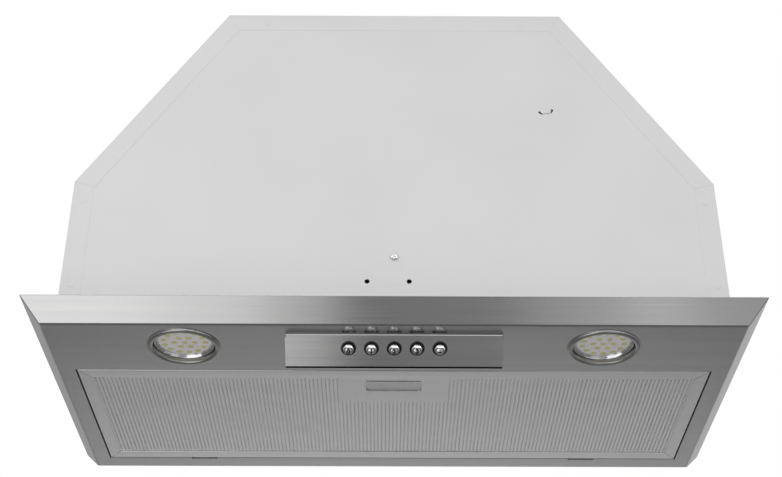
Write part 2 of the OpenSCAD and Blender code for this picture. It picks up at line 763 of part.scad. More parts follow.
// The inlet's bell mouth, a quarter round that leads the air in
bell_hole_r = inlet_r + 3;
module bell_mouth() {
    x0 = impeller_w / 2 + 2.5;
    x1 = scroll_half + scroll_t + 3;
    wall = 1.6;
    rotate([0, 90, 0]) rotate_extrude($fn = 96) polygon(concat(
        [[inlet_r + wall, x0], [inlet_r, x0]],
        [for (k = [0:5]) [inlet_r + bell_r * (1 - cos(18 * k)), x1 - bell_r + bell_r * sin(18 * k)]],
        [[inlet_r + bell_r + 1.6, x1], [inlet_r + bell_r + 1.6, scroll_half + eps], [inlet_r + wall, scroll_half + eps]]));
}
module scroll_half_shell() {
    rim = 5;
    wall_x1 = scroll_half + scroll_t;
    difference() {
        union() {
            scroll_space(scroll_t, 0, wall_x1, ceiling_z);
            scroll_space(scroll_t + rim, 0, scroll_t, ceiling_z);
            block([0, duct_y0 - scroll_t - 6, ceiling_z - 2], [wall_x1 + 8, duct_y1 + scroll_t + 6, ceiling_z]);
        }
        scroll_space(0, -1, scroll_half, ceiling_z + 1);
        rod_x(bell_hole_r, scroll_half - 1, wall_x1 + 1, shaft_y, shaft_h);
        scroll_screw_places() rod_x(screw_r, -1, scroll_t + 1, 0, 0);
    }
    translate([0, shaft_y, shaft_h]) bell_mouth();
}
module scroll_left() {
    color(grey_plastic) mirror([1, 0, 0]) scroll_half_shell();
}
module scroll_right() {
    color(grey_plastic) difference() {
        scroll_half_shell();
        damper_places() rod_x(screw_r, scroll_half - 1, damper_x0 + 1, 0, 0);
    }
}
scroll_screw_angles = [110, 155, 200, 245, 290, 335];
module scroll_screw_places() {
    for (a = scroll_screw_angles) {
        r = spiral_r(a) + scroll_t + 2.5;
        translate([0, shaft_y + r * cos(a), shaft_h + r * sin(a)]) children();
    }
}
module scroll_screws() {
    color(steel) scroll_screw_places() {
        rod_x(screw_r, -scroll_t, scroll_t, 0, 0);
        rod_x(2.5, -scroll_t - 1.6, -scroll_t, 0, 0);
    }
}

// Inlet guard: rings and spokes over the left inlet
guard_t = 2;
guard_bar = 2.4;
guard_rings = 5;
guard_r1 = inlet_r + bell_r - 1;
guard_pitch = (guard_r1 - hub_r) / (guard_rings - 1);
module inlet_guard() {
    x1 = -scroll_half - scroll_t - 3;
    color(black) {
        for (k = [0:guard_rings - 1]) difference() {
            r = hub_r + k * guard_pitch;
            rod_x(r + guard_bar / 2, x1 - guard_t, x1, shaft_y, shaft_h);
            rod_x(r - guard_bar / 2, x1 - guard_t - 1, x1 + 1, shaft_y, shaft_h);
        }
        for (a = [0:60:300]) translate([x1 - guard_t, shaft_y, shaft_h]) rotate([a, 0, 0])
            block([0.3, -1, hub_r - 0.5], [guard_t - 0.3, 1, guard_r1]);
    }
}

// Motor: steel can with end caps, bored for its two bearings
module motor_housing() {
    r = motor_d / 2;
    color("#a9adb0") difference() {
        translate([motor_x0, shaft_y, shaft_h]) rotate([0, 90, 0]) rotate_extrude($fn = 96)
            polygon([[bush_r, 0], [r * 0.45, 0], [r * 0.5, 2], [r * 0.82, 2], [r - 1, 8], [r - 1, 16], [r, 16],
                [r, motor_len - 18], [r - 1, motor_len - 18], [r - 1, motor_len - 8], [r * 0.82, motor_len - 2],
                [r * 0.5, motor_len - 2], [r * 0.45, motor_len], [bush_r, motor_len],
                [bush_r, motor_len - bush_len], [shaft_d / 2 + 1, motor_len - bush_len],
                [shaft_d / 2 + 1, bush_len], [bush_r, bush_len]]);
        for (a = [0:30:330]) translate([motor_x0, shaft_y, shaft_h]) rotate([a, 0, 0])
            block([-1, -2, r * 0.56], [4, 2, r * 0.8]);
        motor_screw_places() rod_x(screw_r, motor_x1 - 8, motor_x1 + 1, 0, 0);
    }
}
module motor_bearings() {
    color("#b5894a") for (x = [motor_x0, motor_x1 - bush_len]) difference() {
        rod_x(bush_r, x, x + bush_len, shaft_y, shaft_h);
        rod_x(shaft_d / 2 + running, x - 1, x + bush_len + 1, shaft_y, shaft_h);
    }
}
module motor_shaft() {
    color(steel) rod_x(shaft_d / 2, hub_x0, shaft_x1, shaft_y, shaft_h);
}

// Motor bracket: ring on the motor and three arms out to the dampers
motor_screw_ring = 13;
motor_head_r = 3;
module motor_screw_places() {
    for (a = [30:120:270]) translate([0, shaft_y, shaft_h]) rotate([a, 0, 0])
        translate([0, 0, motor_screw_ring]) children();
}
module damper_places() {
    for (a = [90:120:330]) translate([0, shaft_y, shaft_h]) rotate([a - 90, 0, 0])
        translate([0, 0, damper_ring]) children();
}
module motor_bracket() {
    color("#c4c6c4") difference() {
        union() {
            rod_x(19, motor_x1, motor_x1 + bracket_t, shaft_y, shaft_h);
            for (a = [0:120:240]) translate([motor_x1, shaft_y, shaft_h]) rotate([a, 0, 0])
                block([0, -7, 10], [bracket_t, 7, damper_ring]);
            damper_places() rod_x(7, motor_x1, motor_x1 + bracket_t, 0, 0);
        }
        rod_x(bush_r + 0.5, motor_x1 - 1, motor_x1 + bracket_t + 1, shaft_y, shaft_h);
        motor_screw_places() rod_x(screw_r, motor_x1 - 1, motor_x1 + bracket_t + 1, 0, 0);
        damper_places() rod_x(screw_r, motor_x1 - 1, motor_x1 + bracket_t + 1, 0, 0);
    }
}
module rubber_dampers() {
    color(black) damper_places() difference() {
        rod_x(damper_r, damper_x0, motor_x1, 0, 0);
        rod_x(screw_r, damper_x0 - 1, motor_x1 + 1, 0, 0);
    }
}
module motor_screws() {
    color(steel) {
        motor_screw_places() {
            rod_x(screw_r, motor_x1 - 7, motor_x1 + bracket_t, 0, 0);
            rod_x(motor_head_r, motor_x1 + bracket_t, motor_x1 + bracket_t + screw_head_h, 0, 0);
        }
        damper_places() {
            rod_x(screw_r, scroll_half, motor_x1 + bracket_t, 0, 0);
            rod_x(motor_head_r, motor_x1 + bracket_t, motor_x1 + bracket_t + screw_head_h, 0, 0);
        }
    }
}

// Impeller: two rows of forward-curved blades on a centre disc, each closed by a ring
blade_t = 0.9;
disc_t = 2;
end_ring_w = 3;
blade_sweep = 9;
blade_steps = 5;
blade_r0 = impeller_d / 2 - blade_depth;
blade_r1 = impeller_d / 2 - 0.3;
function blade_lean(t) = atan(2 * blade_sweep * PI / 180 * t * (blade_r0 + (blade_r1 - blade_r0) * t) / (blade_r1 - blade_r0));
function blade_point(t, side) = let (
    r = blade_r0 + (blade_r1 - blade_r0) * t,
    a = blade_sweep * t * t + side * blade_t / 2 / cos(blade_lean(t)) / r * 180 / PI
) [r * cos(a), r * sin(a)];
blade_outline = concat([for (k = [0:blade_steps]) blade_point(k / blade_steps, -1)],
    [for (k = [blade_steps:-1:0]) blade_point(k / blade_steps, 1)]);
module blade_row(x0, x1) {
    for (i = [0:blade_count - 1]) translate([x0, shaft_y, shaft_h]) rotate([i * 360 / blade_count, 0, 0])
        rotate([90, 0, 90]) linear_extrude(x1 - x0) polygon(blade_outline);
}
module impeller() {
    r1 = impeller_d / 2;
    half = impeller_w / 2;
    color("#3c4046") difference() {
        union() {
            rod_x(r1, -disc_t / 2, disc_t / 2, shaft_y, shaft_h);
            rod_x(hub_r, hub_x0, hub_x1, shaft_y, shaft_h);
            blade_row(-half + end_ring_w / 2, half - end_ring_w / 2);
            for (x = [-half, half - end_ring_w]) difference() {
                rod_x(r1, x, x + end_ring_w, shaft_y, shaft_h);
                rod_x(r1 - blade_depth + 1.5, x - 1, x + end_ring_w + 1, shaft_y, shaft_h);
            }
        }
        rod_x(shaft_d / 2, hub_x0 - 1, hub_x1 + 1, shaft_y, shaft_h);
    }
}

// Run capacitor and its clip on the rear panel
module capacitor() {
    color("#d8d8d4") rod_x(capacitor_d / 2, capacitor_x, capacitor_x + capacitor_len, capacitor_yc, capacitor_z);
}
clip_t = 1.2;
capacitor_yc = inner_y - clip_t - capacitor_d / 2;
module capacitor_clip() {
    x = capacitor_x + capacitor_len / 2;
    color("#c4c6c4") {
        difference() {
            rod_x(capacitor_d / 2 + clip_t, x - 7, x + 7, capacitor_yc, capacitor_z);
            rod_x(capacitor_d / 2, x - 8, x + 8, capacitor_yc, capacitor_z);
            block([x - 8, capacitor_yc - capacitor_d, capacitor_z - 9],
                [x + 8, capacitor_yc - capacitor_d / 4, capacitor_z + 9]);
        }
        difference() {
            block([x - 7, inner_y - clip_t, capacitor_z - 26], [x + 7, inner_y, capacitor_z + 26]);
            rod_x(capacitor_d / 2, x - 8, x + 8, capacitor_yc, capacitor_z);
        }
    }
}

// Terminal box, its lid and the cord gland
module terminal_box() {
    y0 = inner_y - box_d;
    color(black) difference() {
        block([box_x, y0, box_z], [box_x + box_w, inner_y, box_z + box_h]);
        block([box_x + box_t, y0 - 1, box_z + box_t], [box_x + box_w - box_t, inner_y - box_t, box_z + box_h - box_t]);
        rod_y(gland_r, inner_y - box_t - 1, inner_y + 1, gland_x, gland_z);
    }
}
module terminal_box_lid() {
    y0 = inner_y - box_d;
    color(grey_plastic) {
        block([box_x, y0 - box_t, box_z], [box_x + box_w, y0, box_z + box_h]);
        block([box_x + box_t + 0.2, y0 - eps, box_z + box_t + 0.2],
            [box_x + box_w - box_t - 0.2, y0 + 2, box_z + box_h - box_t - 0.2]);
    }
}
module cord_gland() {
    color(black) difference() {
        union() {
            rod_y(gland_r, inner_y - box_t - 5, half_d + 1, gland_x, gland_z);
            rod_y(gland_r + 4, panel_y, panel_y + 5, gland_x, gland_z);
            translate([gland_x, inner_y - box_t, gland_z]) rotate([90, 0, 0]) cylinder(r = gland_r + 3, h = 4, $fn = 6);
            translate([gland_x, panel_y + 5, gland_z]) rotate([-90, 0, 0]) cylinder(r1 = gland_r + 2, r2 = gland_r - 1, h = 8);
        }
        rod_y(cord_hole_d / 2, inner_y - 20, half_d + 30, gland_x, gland_z);
    }
}

// Fasteners
module panel_rivets() {
    color(paint) {
        rod_y(rivet_r, -panel_y, sheet_t - inner_y, 0, front_rivet_z);
        translate([0, -panel_y, front_rivet_z]) rotate([90, 0, 0]) rotate_extrude()
            polygon([[0, 0], [rivet_head_r, 0], [rivet_head_r * 0.8, 0.7], [rivet_r, 1], [0.7, 1], [0.7, 0.4], [0, 0.4]]);
    }
}
stud_inset_x = 55;
stud_inset_y = 53;
stud_step_x = (half_w - stud_inset_x) / 2;
stud_step_y = half_d - stud_inset_y;
module front_stud_places() {
    for (k = [-2:2]) translate([k * stud_step_x, -half_d - foot_w / 2, floor_z]) children();
}
module rear_stud_places() {
    for (k = [-2:2]) translate([k * stud_step_x, half_d + foot_w / 2, floor_z]) children();
}
module side_stud_places() {
    for (k = [-1:1]) translate([half_w + foot_w / 2, k * stud_step_y, floor_z]) children();
}
stud_len = 8;
nut_af_r = 3.6;
module stud_nut(seat_t) {
    cylinder(r = stud_r, h = stud_len, $fn = 32);
    difference() {
        translate([0, 0, seat_t]) cylinder(r = nut_af_r, h = 3, $fn = 6);
        cylinder(r = stud_r, h = stud_len, $fn = 32);
    }
}
module stud_nuts() {
    color(steel) {
        front_stud_places() stud_nut(sheet_t);
        rear_stud_places() stud_nut(sheet_t);
        both_sides() side_stud_places() stud_nut(sheet_t);
        both_sides() translate([strap_x + strap_w / 2, strap_foot_y0 + strap_w / 2, floor_z]) stud_nut(strap_t);
    }
}
module collar_screws() {
    color(steel) collar_screw_places() {
        translate([0, 0, ceiling_z]) cylinder(r = screw_r, h = sheet_t + collar_t);
        translate([0, 0, housing_h + collar_t]) cylinder(r = screw_head_r, h = screw_head_h);
    }
}

// Filter frame: a channel all round, open to the inside, with mitred corners
channel_w = 9;
module filter_frame() {
    color("#aeb1b3") difference() {
        block([-filter_x, filter_y0, under_z], [filter_x, filter_y1, filter_z1]);
        block([rail_side_w - filter_x, filter_y0 + rail_w, under_z - 1],
            [filter_x - rail_side_w, filter_y1 - rail_w, filter_z1 - 2]);
        block([channel_w - filter_x, filter_y0 + channel_w, under_z + 2], [filter_x - channel_w, filter_y1 - channel_w, filter_z1 + 1]);
        block([rail_t - filter_x, filter_y0 + rail_t, under_z + rail_t], [filter_x - rail_t, filter_y1 - rail_t, filter_z1 - rail_t]);
        // a groove marks each mitred corner, from its outer to its inner corner
        for (sx = [-1, 1], sy = [-1, 1])
            translate([sx * filter_x, sy < 0 ? filter_y0 : filter_y1, under_z])
                rotate([0, 0, atan2(-sy * rail_w, -sx * rail_side_w)])
                    translate([1, -0.15, -1]) cube([norm([rail_w, rail_side_w]), 0.3, 1 + rail_t / 2]);
        // the front wall opens for the bolt
        block([-bolt_w / 2 - 0.5, filter_y0 - 1, bolt_z - 0.4], [bolt_w / 2 + 0.5, filter_y0 + 2, bolt_z + bolt_t + 0.4]);
    }
}

// Perforated sheets: their holes are left to the finish
housing_x = slot_w / 2 + 6;
housing_y0 = filter_y0 + rail_t + 0.2;
housing_y1 = filter_y0 + latch_d - 4;
module filter_face_mesh() {
    color("#9b9ea0") difference() {
        block([rail_t - filter_x + 1, filter_y0 + rail_t + 1, under_z + rail_t],
            [filter_x - rail_t - 1, filter_y1 - rail_t - 1, under_z + rail_t + mesh_t]);
        block([-housing_x - 0.3, filter_y0, under_z], [housing_x + 0.3, housing_y1 + 0.3, filter_z1]);
    }
}
module filter_back_mesh() {
    color("#9b9ea0") block([rail_t - filter_x + 1, filter_y0 + rail_t + 1, filter_z1 - rail_t - mesh_t],
        [filter_x - rail_t - 1, filter_y1 - rail_t - 1, filter_z1 - rail_t]);
}
pleat_pitch = 12;
pleat_t = 0.35;
module filter_core() {
    z0 = under_z + rail_t + mesh_t;
    z1 = filter_z1 - rail_t - mesh_t;
    half = floor((filter_x - rail_t - 4) / pleat_pitch);
    profile = [for (i = [-half:half - 1], p = [[0, z0], [0.3, z0], [0.5, z1], [0.8, z1]]) [(i + p[0]) * pleat_pitch, p[1]]];
    color("#c0c2c4") difference() {
        translate([0, filter_y1 - rail_t - 2, 0]) rotate([90, 0, 0])
            linear_extrude(filter_y1 - filter_y0 - 2 * rail_t - 4) polygon(concat(
                [for (p = profile) [p[0], p[1] == z0 ? z0 : z1 - pleat_t]],
                [for (k = [len(profile) - 1:-1:0]) [profile[k][0], profile[k][1] == z0 ? z0 + pleat_t : z1]]));
        block([-housing_x - 0.3, filter_y0, under_z], [housing_x + 0.3, housing_y1 + 0.3, filter_z1]);
    }
}

// Latch plate with the finger slot, flush with the rails
latch_t = rail_t;
slot_y0 = filter_y0 + slot_front;
slot_y1 = slot_y0 + slot_d;
slot_corner_r = 3;
module latch_plate() {
    color("#aeb1b3") difference() {
        block([-latch_w / 2, filter_y0 + rail_w, under_z],
            [latch_w / 2, filter_y0 + latch_d, under_z + latch_t]);
        rounded_prism(-slot_w / 2, slot_w / 2, slot_y0, slot_y1, under_z - 1, under_z + latch_t + 1, slot_corner_r);
    }
}

// Latch housing: a tray inside the filter that guides the slider
tray_z0 = under_z;
tray_z1 = filter_z1 - rail_t - mesh_t;
tray_t = 1.2;
slider_x = housing_x - tray_t - sliding;
slider_y0 = slot_y0 - 3;
slider_y1 = slot_y1 + 4;
slider_z0 = under_z + latch_t + sliding / 2;
slider_z1 = tray_z1 - tray_t - sliding;
module latch_housing() {
    color(black) difference() {
        block([-housing_x, filter_y0 + rail_t, tray_z0 + rail_t], [housing_x, housing_y1, tray_z1]);
        block([tray_t - housing_x, filter_y0, tray_z0 - 1],
            [housing_x - tray_t, housing_y1 - tray_t, tray_z1 - tray_t]);
    }
}

// Latch slider: pad, fingertip gap and bolt
module latch_slider() {
    color("#b4b7b9") {
        difference() {
            block([-slider_x, slider_y0, slider_z0], [slider_x, slider_y1, slider_z1]);
            block([-slot_w / 2 + 0.3, slider_y0 + 1.5, under_z - 1], [slot_w / 2 - 0.3, slot_y0 + grip_gap, slider_z1 - 1]);
            // the pad's front edge is undercut, so that a fingertip holds it
            strip_prism(slot_w / 2 - 0.3, [[slot_y0 + grip_gap - 1, slider_z0 + 0.8], [slot_y0 + grip_gap, slider_z0 + 0.8],
                [slot_y0 + grip_gap + 2.5, slider_z1 - 1], [slot_y0 + grip_gap - 1, slider_z1 - 1]]);
        }
        block([-bolt_w / 2, filter_y0 - bolt_reach, bolt_z], [bolt_w / 2, slider_y0 + eps, bolt_z + bolt_t]);
    }
}

// Latch springs: one unbroken coil each, between the slider and the housing's rear wall
coil_r = 1.7;
coil_wire = 0.3;
coil_x = 16;
coil_z = (slider_z0 + slider_z1) / 2;
coil_y0 = slider_y1 + 0.35 + coil_wire;
coil_y1 = housing_y1 - tray_t - 0.35 - coil_wire;
coil_rings = 8;
function coil_point(t) = [coil_r * cos(360 * t), coil_y0 + (coil_y1 - coil_y0) * t / latch_spring_turns,
    coil_r * sin(360 * t)];
coil_path = [for (k = [0:coil_rings * latch_spring_turns]) coil_point(k / coil_rings)];
function unit(v) = v / norm(v);
module tube(path, r, sides) {
    last = len(path) - 1;
    points = [for (k = [0:last]) let (
        ahead = unit(path[min(k + 1, last)] - path[max(k - 1, 0)]),
        out = unit(cross(ahead, [0, 1, 0])),
        up = cross(out, ahead)
    ) for (j = [0:sides - 1]) path[k] + r * (cos(360 * j / sides) * out + sin(360 * j / sides) * up)];
    skin = [for (k = [0:last - 1], j = [0:sides - 1]) let (
        a = k * sides + j, b = k * sides + (j + 1) % sides)
        each [[a, b, b + sides], [a, b + sides, a + sides]]];
    caps = concat([for (j = [1:sides - 2]) [0, j + 1, j]],
        [for (j = [1:sides - 2]) [last * sides, last * sides + j, last * sides + j + 1]]);
    polyhedron(points, concat(skin, caps), convexity = 6);
}
module latch_springs() {
    color(steel) both_sides() translate([coil_x, 0, coil_z]) tube(coil_path, coil_wire, 6);
}

// Lugs on the filter's rear edge, which hang on the face plate
lug_w = 20;
lug_len = 7;
lug_t = 1.2;
lug_z = floor_z + 0.3;
lug_x = 180;
module filter_lugs() {
    color(steel) both_sides() block([lug_x - lug_w / 2, filter_y1, lug_z], [lug_x + lug_w / 2, filter_y1 + lug_len, lug_z + lug_t]);
    color(steel) both_sides() block([lug_x - lug_w / 2, filter_y1, lug_z], [lug_x + lug_w / 2, filter_y1 + 0.8, filter_z1 - 1]);
}

face_plate();
wrapper();
front_panel();
rear_panel();
service_cover();
control_cover();
button_bezels();
switch_block();
switch_bracket();
lamp_ring(-1);  // lamp_ring_left
lamp_ring(1);  // lamp_ring_right
lamp_body(-1);  // lamp_body_left
lamp_body(1);  // lamp_body_right
led_board(-1);  // led_board_left
led_board(1);  // led_board_right
lamp_glass(-1);  // lamp_glass_left
lamp_glass(1);  // lamp_glass_right
lamp_socket(-1);  // lamp_socket_left
lamp_socket(1);  // lamp_socket_right
socket_brackets();
outlet_collar();
flap_pin();
scroll_left();
scroll_right();
inlet_guard();
motor_housing();
motor_bearings();
motor_bracket();
rubber_dampers();
capacitor();
capacitor_clip();
terminal_box();
terminal_box_lid();
cord_gland();
panel_rivets();
stud_nuts();
collar_screws();
scroll_screws();
motor_screws();
filter_frame();
filter_face_mesh();
filter_back_mesh();
filter_core();
latch_plate();
latch_housing();
filter_lugs();
latch_slider();
latch_springs();
impeller();
motor_shaft();
flap(-1);  // flap_front
flap(1);  // flap_rear
button(0);  // button_0
button(1);  // button_1
button(2);  // button_2
button(3);  // button_3
button(4);  // button_lamp
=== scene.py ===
# %% [markdown]
# # A built-in cooker hood, dressed over its CAD frame
#
# The CAD model already has every piece at its real size. This file gives each piece the finish of
# the real one: brushed stainless steel, white paint, chrome, perforated aluminium. Where the CAD
# solid is too plain, such as a sheet whose holes were left out, a detailed piece replaces it.

# %% Load the frame
import bpy
import bmesh
import json
import math
from functools import partial
from mathutils import Matrix, Vector


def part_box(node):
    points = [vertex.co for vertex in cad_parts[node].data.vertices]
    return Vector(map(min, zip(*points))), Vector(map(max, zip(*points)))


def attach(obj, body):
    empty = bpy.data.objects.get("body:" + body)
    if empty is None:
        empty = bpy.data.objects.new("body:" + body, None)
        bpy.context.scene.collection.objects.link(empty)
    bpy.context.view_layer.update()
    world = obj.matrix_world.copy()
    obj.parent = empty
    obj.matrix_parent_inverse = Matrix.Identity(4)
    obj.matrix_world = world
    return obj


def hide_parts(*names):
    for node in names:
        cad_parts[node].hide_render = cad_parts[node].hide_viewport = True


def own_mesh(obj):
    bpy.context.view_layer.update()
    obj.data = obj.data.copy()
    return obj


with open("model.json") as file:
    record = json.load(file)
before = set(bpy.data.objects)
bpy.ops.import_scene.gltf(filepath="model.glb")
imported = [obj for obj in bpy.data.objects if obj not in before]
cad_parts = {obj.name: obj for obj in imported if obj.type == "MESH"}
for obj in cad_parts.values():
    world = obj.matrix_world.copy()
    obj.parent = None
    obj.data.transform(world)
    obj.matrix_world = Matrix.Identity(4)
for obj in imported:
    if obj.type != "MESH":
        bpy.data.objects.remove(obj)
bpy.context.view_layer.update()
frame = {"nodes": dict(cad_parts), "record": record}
record = frame["record"]
MM = 0.001
BODY_OF = {node: body for body, nodes in record["behaviour"]["bodies"].items() for node in nodes}
SLOT_OF = {part["node"]: part["material_slot"] for part in record["subparts"]}

# %% [markdown]
# ## The camera
#
# The photograph looks up at the hood from the front. Its lens and place were worked out from the
# straight edges of the face plate and housing, so the camera is written down as a place and the
# three directions right, up and forward, which make its rotation matrix.

# %% Camera
CAMERA_PLACE = Vector((-0.0062, -1.1488, -0.5740))
CAMERA_RIGHT = Vector((0.99998921, -0.00436143, 0.00159854))
CAMERA_UP = Vector((-0.00368456, -0.53518936, 0.84472408))
CAMERA_FORWARD = Vector((0.00282869, 0.84472086, 0.53519966))
FOCAL_PIXELS = 1433.1
IMAGE_WIDTH = 782
SENSOR_MM = 36.0

camera = bpy.data.objects.new("camera", bpy.data.cameras.new("camera"))
bpy.context.scene.collection.objects.link(camera)
turn = Matrix((CAMERA_RIGHT, CAMERA_UP, -CAMERA_FORWARD)).transposed()
camera.matrix_world = Matrix.Translation(CAMERA_PLACE) @ turn.to_4x4()
camera.data.sensor_width = SENSOR_MM
camera.data.lens = FOCAL_PIXELS * SENSOR_MM / IMAGE_WIDTH
camera.data.clip_end = 50
bpy.context.scene.camera = camera
bpy.context.scene.view_settings.view_transform = "Standard"
print("lens", round(camera.data.lens, 2), "mm")

# %% [markdown]
# ## Studio
#
# A hood is photographed in a pale studio. The world is white where the camera or a glass looks at
# it, and softer where it only lights the paint, so that white paint doesn't clip. Metal shows what
# stands around it, so reflections see a world that is bright in front and dimmer at the back.
# The hood hangs as in a kitchen, so the floor is well below it.

# %% Helpers that add nodes
def add(tree, kind, wires=None, **settings):
    """Adds a node to a tree and fills its inputs with values or with other nodes' outputs."""
    node = tree.nodes.new(kind)
    for key, value in settings.items():
        setattr(node, key, value)
    for key, value in (wires or {}).items():
        for source in value if isinstance(value, list) else [value]:
            if isinstance(source, bpy.types.NodeSocket):
                tree.links.new(source, node.inputs[key])
            else:
                node.inputs[key].default_value = source
    return node


def step(tree, kind, wires=None, **settings):
    """Adds a node and gives its first output."""
    return add(tree, kind, wires, **settings).outputs[0]


def reckon(tree, operation, a, b=0.0):
    """One Math node."""
    return step(tree, "ShaderNodeMath", {0: a, 1: b}, operation=operation)


# %% World
FLOOR_Z = -1.6
WORLD_LIGHT = 0.61
FRONT_GLOSS = 1.0
REAR_GLOSS = 0.40
RIGHT_GLOSS = 0.15
FLOOR_SEEN = (0.86, 0.86, 0.86, 1)
FLOOR_UNSEEN = (0.16, 0.16, 0.16, 1)

world = bpy.data.worlds.new("studio")
bpy.context.scene.world = world
world.use_nodes = True
sky = world.node_tree
rays = add(sky, "ShaderNodeLightPath").outputs
seen = reckon(sky, "MAXIMUM", rays["Is Camera Ray"], rays["Is Transmission Ray"])
direction = add(sky, "ShaderNodeSeparateXYZ", {"Vector": step(sky, "ShaderNodeTexCoord")}).outputs
around = step(sky, "ShaderNodeMapRange", {
    "Value": direction["Y"], "From Min": -1, "To Min": FRONT_GLOSS, "To Max": REAR_GLOSS})
sideways = reckon(sky, "ADD", reckon(sky, "MULTIPLY", direction["X"], RIGHT_GLOSS), around)
mirror = step(sky, "ShaderNodeMix", {"Factor": rays["Is Glossy Ray"], "A": WORLD_LIGHT, "B": sideways})
background = sky.nodes["Background"].inputs
background["Color"].default_value = (1, 1, 1, 1)
sky.links.new(reckon(sky, "MAXIMUM", seen, mirror), background["Strength"])

# %% Floor and lamps of the studio
bpy.ops.mesh.primitive_plane_add(size=14, location=(0, 0, FLOOR_Z))
floor = bpy.context.object
floor.name = "floor"
floor_paint = bpy.data.materials.new("floor_paint")
floor_paint.use_nodes = True
floor.data.materials.append(floor_paint)
floor_tree = floor_paint.node_tree
pale = floor_tree.nodes["Principled BSDF"]
pale.inputs["Roughness"].default_value = 0.9
rays = add(floor_tree, "ShaderNodeLightPath").outputs
shade = add(floor_tree, "ShaderNodeMix", {
    "Factor": rays["Is Camera Ray"], "A": FLOOR_UNSEEN, "B": FLOOR_SEEN}, data_type="RGBA")
floor_tree.links.new(shade.outputs["Result"], pale.inputs["Base Color"])
# a camera below the floor looks through it
behind = add(floor_tree, "ShaderNodeNewGeometry").outputs["Backfacing"]
surface = step(floor_tree, "ShaderNodeMixShader", {
    "Fac": reckon(floor_tree, "MULTIPLY", behind, rays["Is Camera Ray"]),
    1: pale.outputs["BSDF"], 2: step(floor_tree, "ShaderNodeBsdfTransparent")})
floor_tree.links.new(surface, floor_tree.nodes["Material Output"].inputs["Surface"])


def soft_box(name, place, aim, size, watts):
    """A rectangular studio lamp at a place, turned towards a point."""
    lamp = bpy.data.objects.new(name, bpy.data.lights.new(name, "AREA"))
    lamp.data.shape = "RECTANGLE"
    lamp.data.size, lamp.data.size_y = size
    lamp.data.energy = watts
    lamp.location = place
    lamp.rotation_euler = (Vector(aim) - Vector(place)).to_track_quat("-Z", "Y").to_euler()
    bpy.context.scene.collection.objects.link(lamp)


soft_box("key", (-1.6, -2.0, 1.0), (0, 0, 0.1), (1.4, 1.0), 14)
soft_box("fill", (1.8, -1.8, 0.3), (0, 0, 0.1), (1.2, 1.0), 8)
soft_box("back", (0.6, 2.2, 1.6), (0, 0, 0.2), (1.6, 1.0), 16)
soft_box("far_floor", (0, 4.9, -0.4), (0, 4.9, FLOOR_Z), (3.4, 3.6), 118)
soft_box("front_card", (-0.3, -3.4, -0.75), (-0.3, 0, -0.75), (4.6, 1.4), 14)
# low panels beside each other, each with its own brightness, that the sloping steel mirrors
for x0, x1, brightness in ((-1.6, -0.45, 1.12), (-0.45, -0.24, 0.91), (-0.24, -0.10, 0.55), (0, 0.26, 0.11),
                           (0.26, 0.45, 0.35), (0.45, 0.58, 0.66), (0.58, 1.5, 0.33)):
    width, depth = x1 - x0, 1.75
    soft_box("low_panel", ((x0 + x1) / 2, -1.0, -1.4), ((x0 + x1) / 2, -1.0, 0), (width, depth),
             brightness * math.pi * width * depth)
print("studio ready")

# %% [markdown]
# ## Finishes
#
# Every finish starts as a Principled shader with its plain values set on the shader's own sockets.
# Noise on Object coordinates, which are metres in this frame, then adds what the eye sees from
# close by: the brush lines of the steel, the skin of the paint, the grain of moulded plastic.


# %% Helpers that build a finish
def principled(material):
    """The inputs of a material's shader."""
    return material.node_tree.nodes["Principled BSDF"].inputs


def finish(name, color, metallic=0.0, roughness=0.5, **sockets):
    """A material with plain values."""
    material = bpy.data.materials.new(name)
    material.use_nodes = True
    values = {"Base Color": (*color, 1), "Metallic": metallic, "Roughness": roughness, **sockets}
    for socket, value in values.items():
        principled(material)[socket].default_value = value
    return material


def noise(material, stretch, detail):
    """Noise with stretch cells per metre along X, Y and Z."""
    tree = material.node_tree
    where = add(tree, "ShaderNodeTexCoord").outputs["Object"]
    mapping = step(tree, "ShaderNodeMapping", {"Vector": where, "Scale": tuple(stretch)})
    return step(tree, "ShaderNodeTexNoise", {"Vector": mapping, "Scale": 1.0, "Detail": detail})


def spread(material, value, low, high):
    """Maps the middle of a noise to low..high."""
    return step(material.node_tree, "ShaderNodeMapRange", {
        "Value": value, "From Min": 0.3, "From Max": 0.7, "To Min": low, "To Max": high})


def drive(material, socket, source):
    """Wires an output to a socket of the material's shader."""
    material.node_tree.links.new(source, principled(material)[socket])


def tint(material, value, color_a, color_b):
    """Colours the surface from color_a to color_b as the value goes from low to high."""
    mix = add(material.node_tree, "ShaderNodeMix", {
        "Factor": spread(material, value, 0, 1), "A": (*color_a, 1), "B": (*color_b, 1)}, data_type="RGBA")
    drive(material, "Base Color", mix.outputs["Result"])


def raise_surface(material, value, depth, strength):
    """Bump of a real depth in metres."""
    bump = step(material.node_tree, "ShaderNodeBump", {
        "Height": value, "Distance": depth, "Strength": strength})
    drive(material, "Normal", bump)


# %% Steel, paint and plastic
def brushed(name, dark, light, roughness):
    """Brushed metal: streaks that run along X."""
    material = finish(name, dark, 1.0, roughness[0])
    streaks = noise(material, (5.0, 900.0, 900.0), 3)
    tint(material, noise(material, (1.6, 160.0, 160.0), 4), dark, light)
    drive(material, "Roughness", spread(material, streaks, *roughness))
    raise_surface(material, streaks, 0.00002, 0.5)
    return material


def painted(name, dark, light, roughness=0.42):
    """Powder paint with a fine orange peel."""
    material = finish(name, light, 0.0, roughness)
    tint(material, noise(material, (9, 9, 9), 3), dark, light)
    raise_surface(material, noise(material, (900, 900, 900), 2), 0.00003, 0.35)
    return material


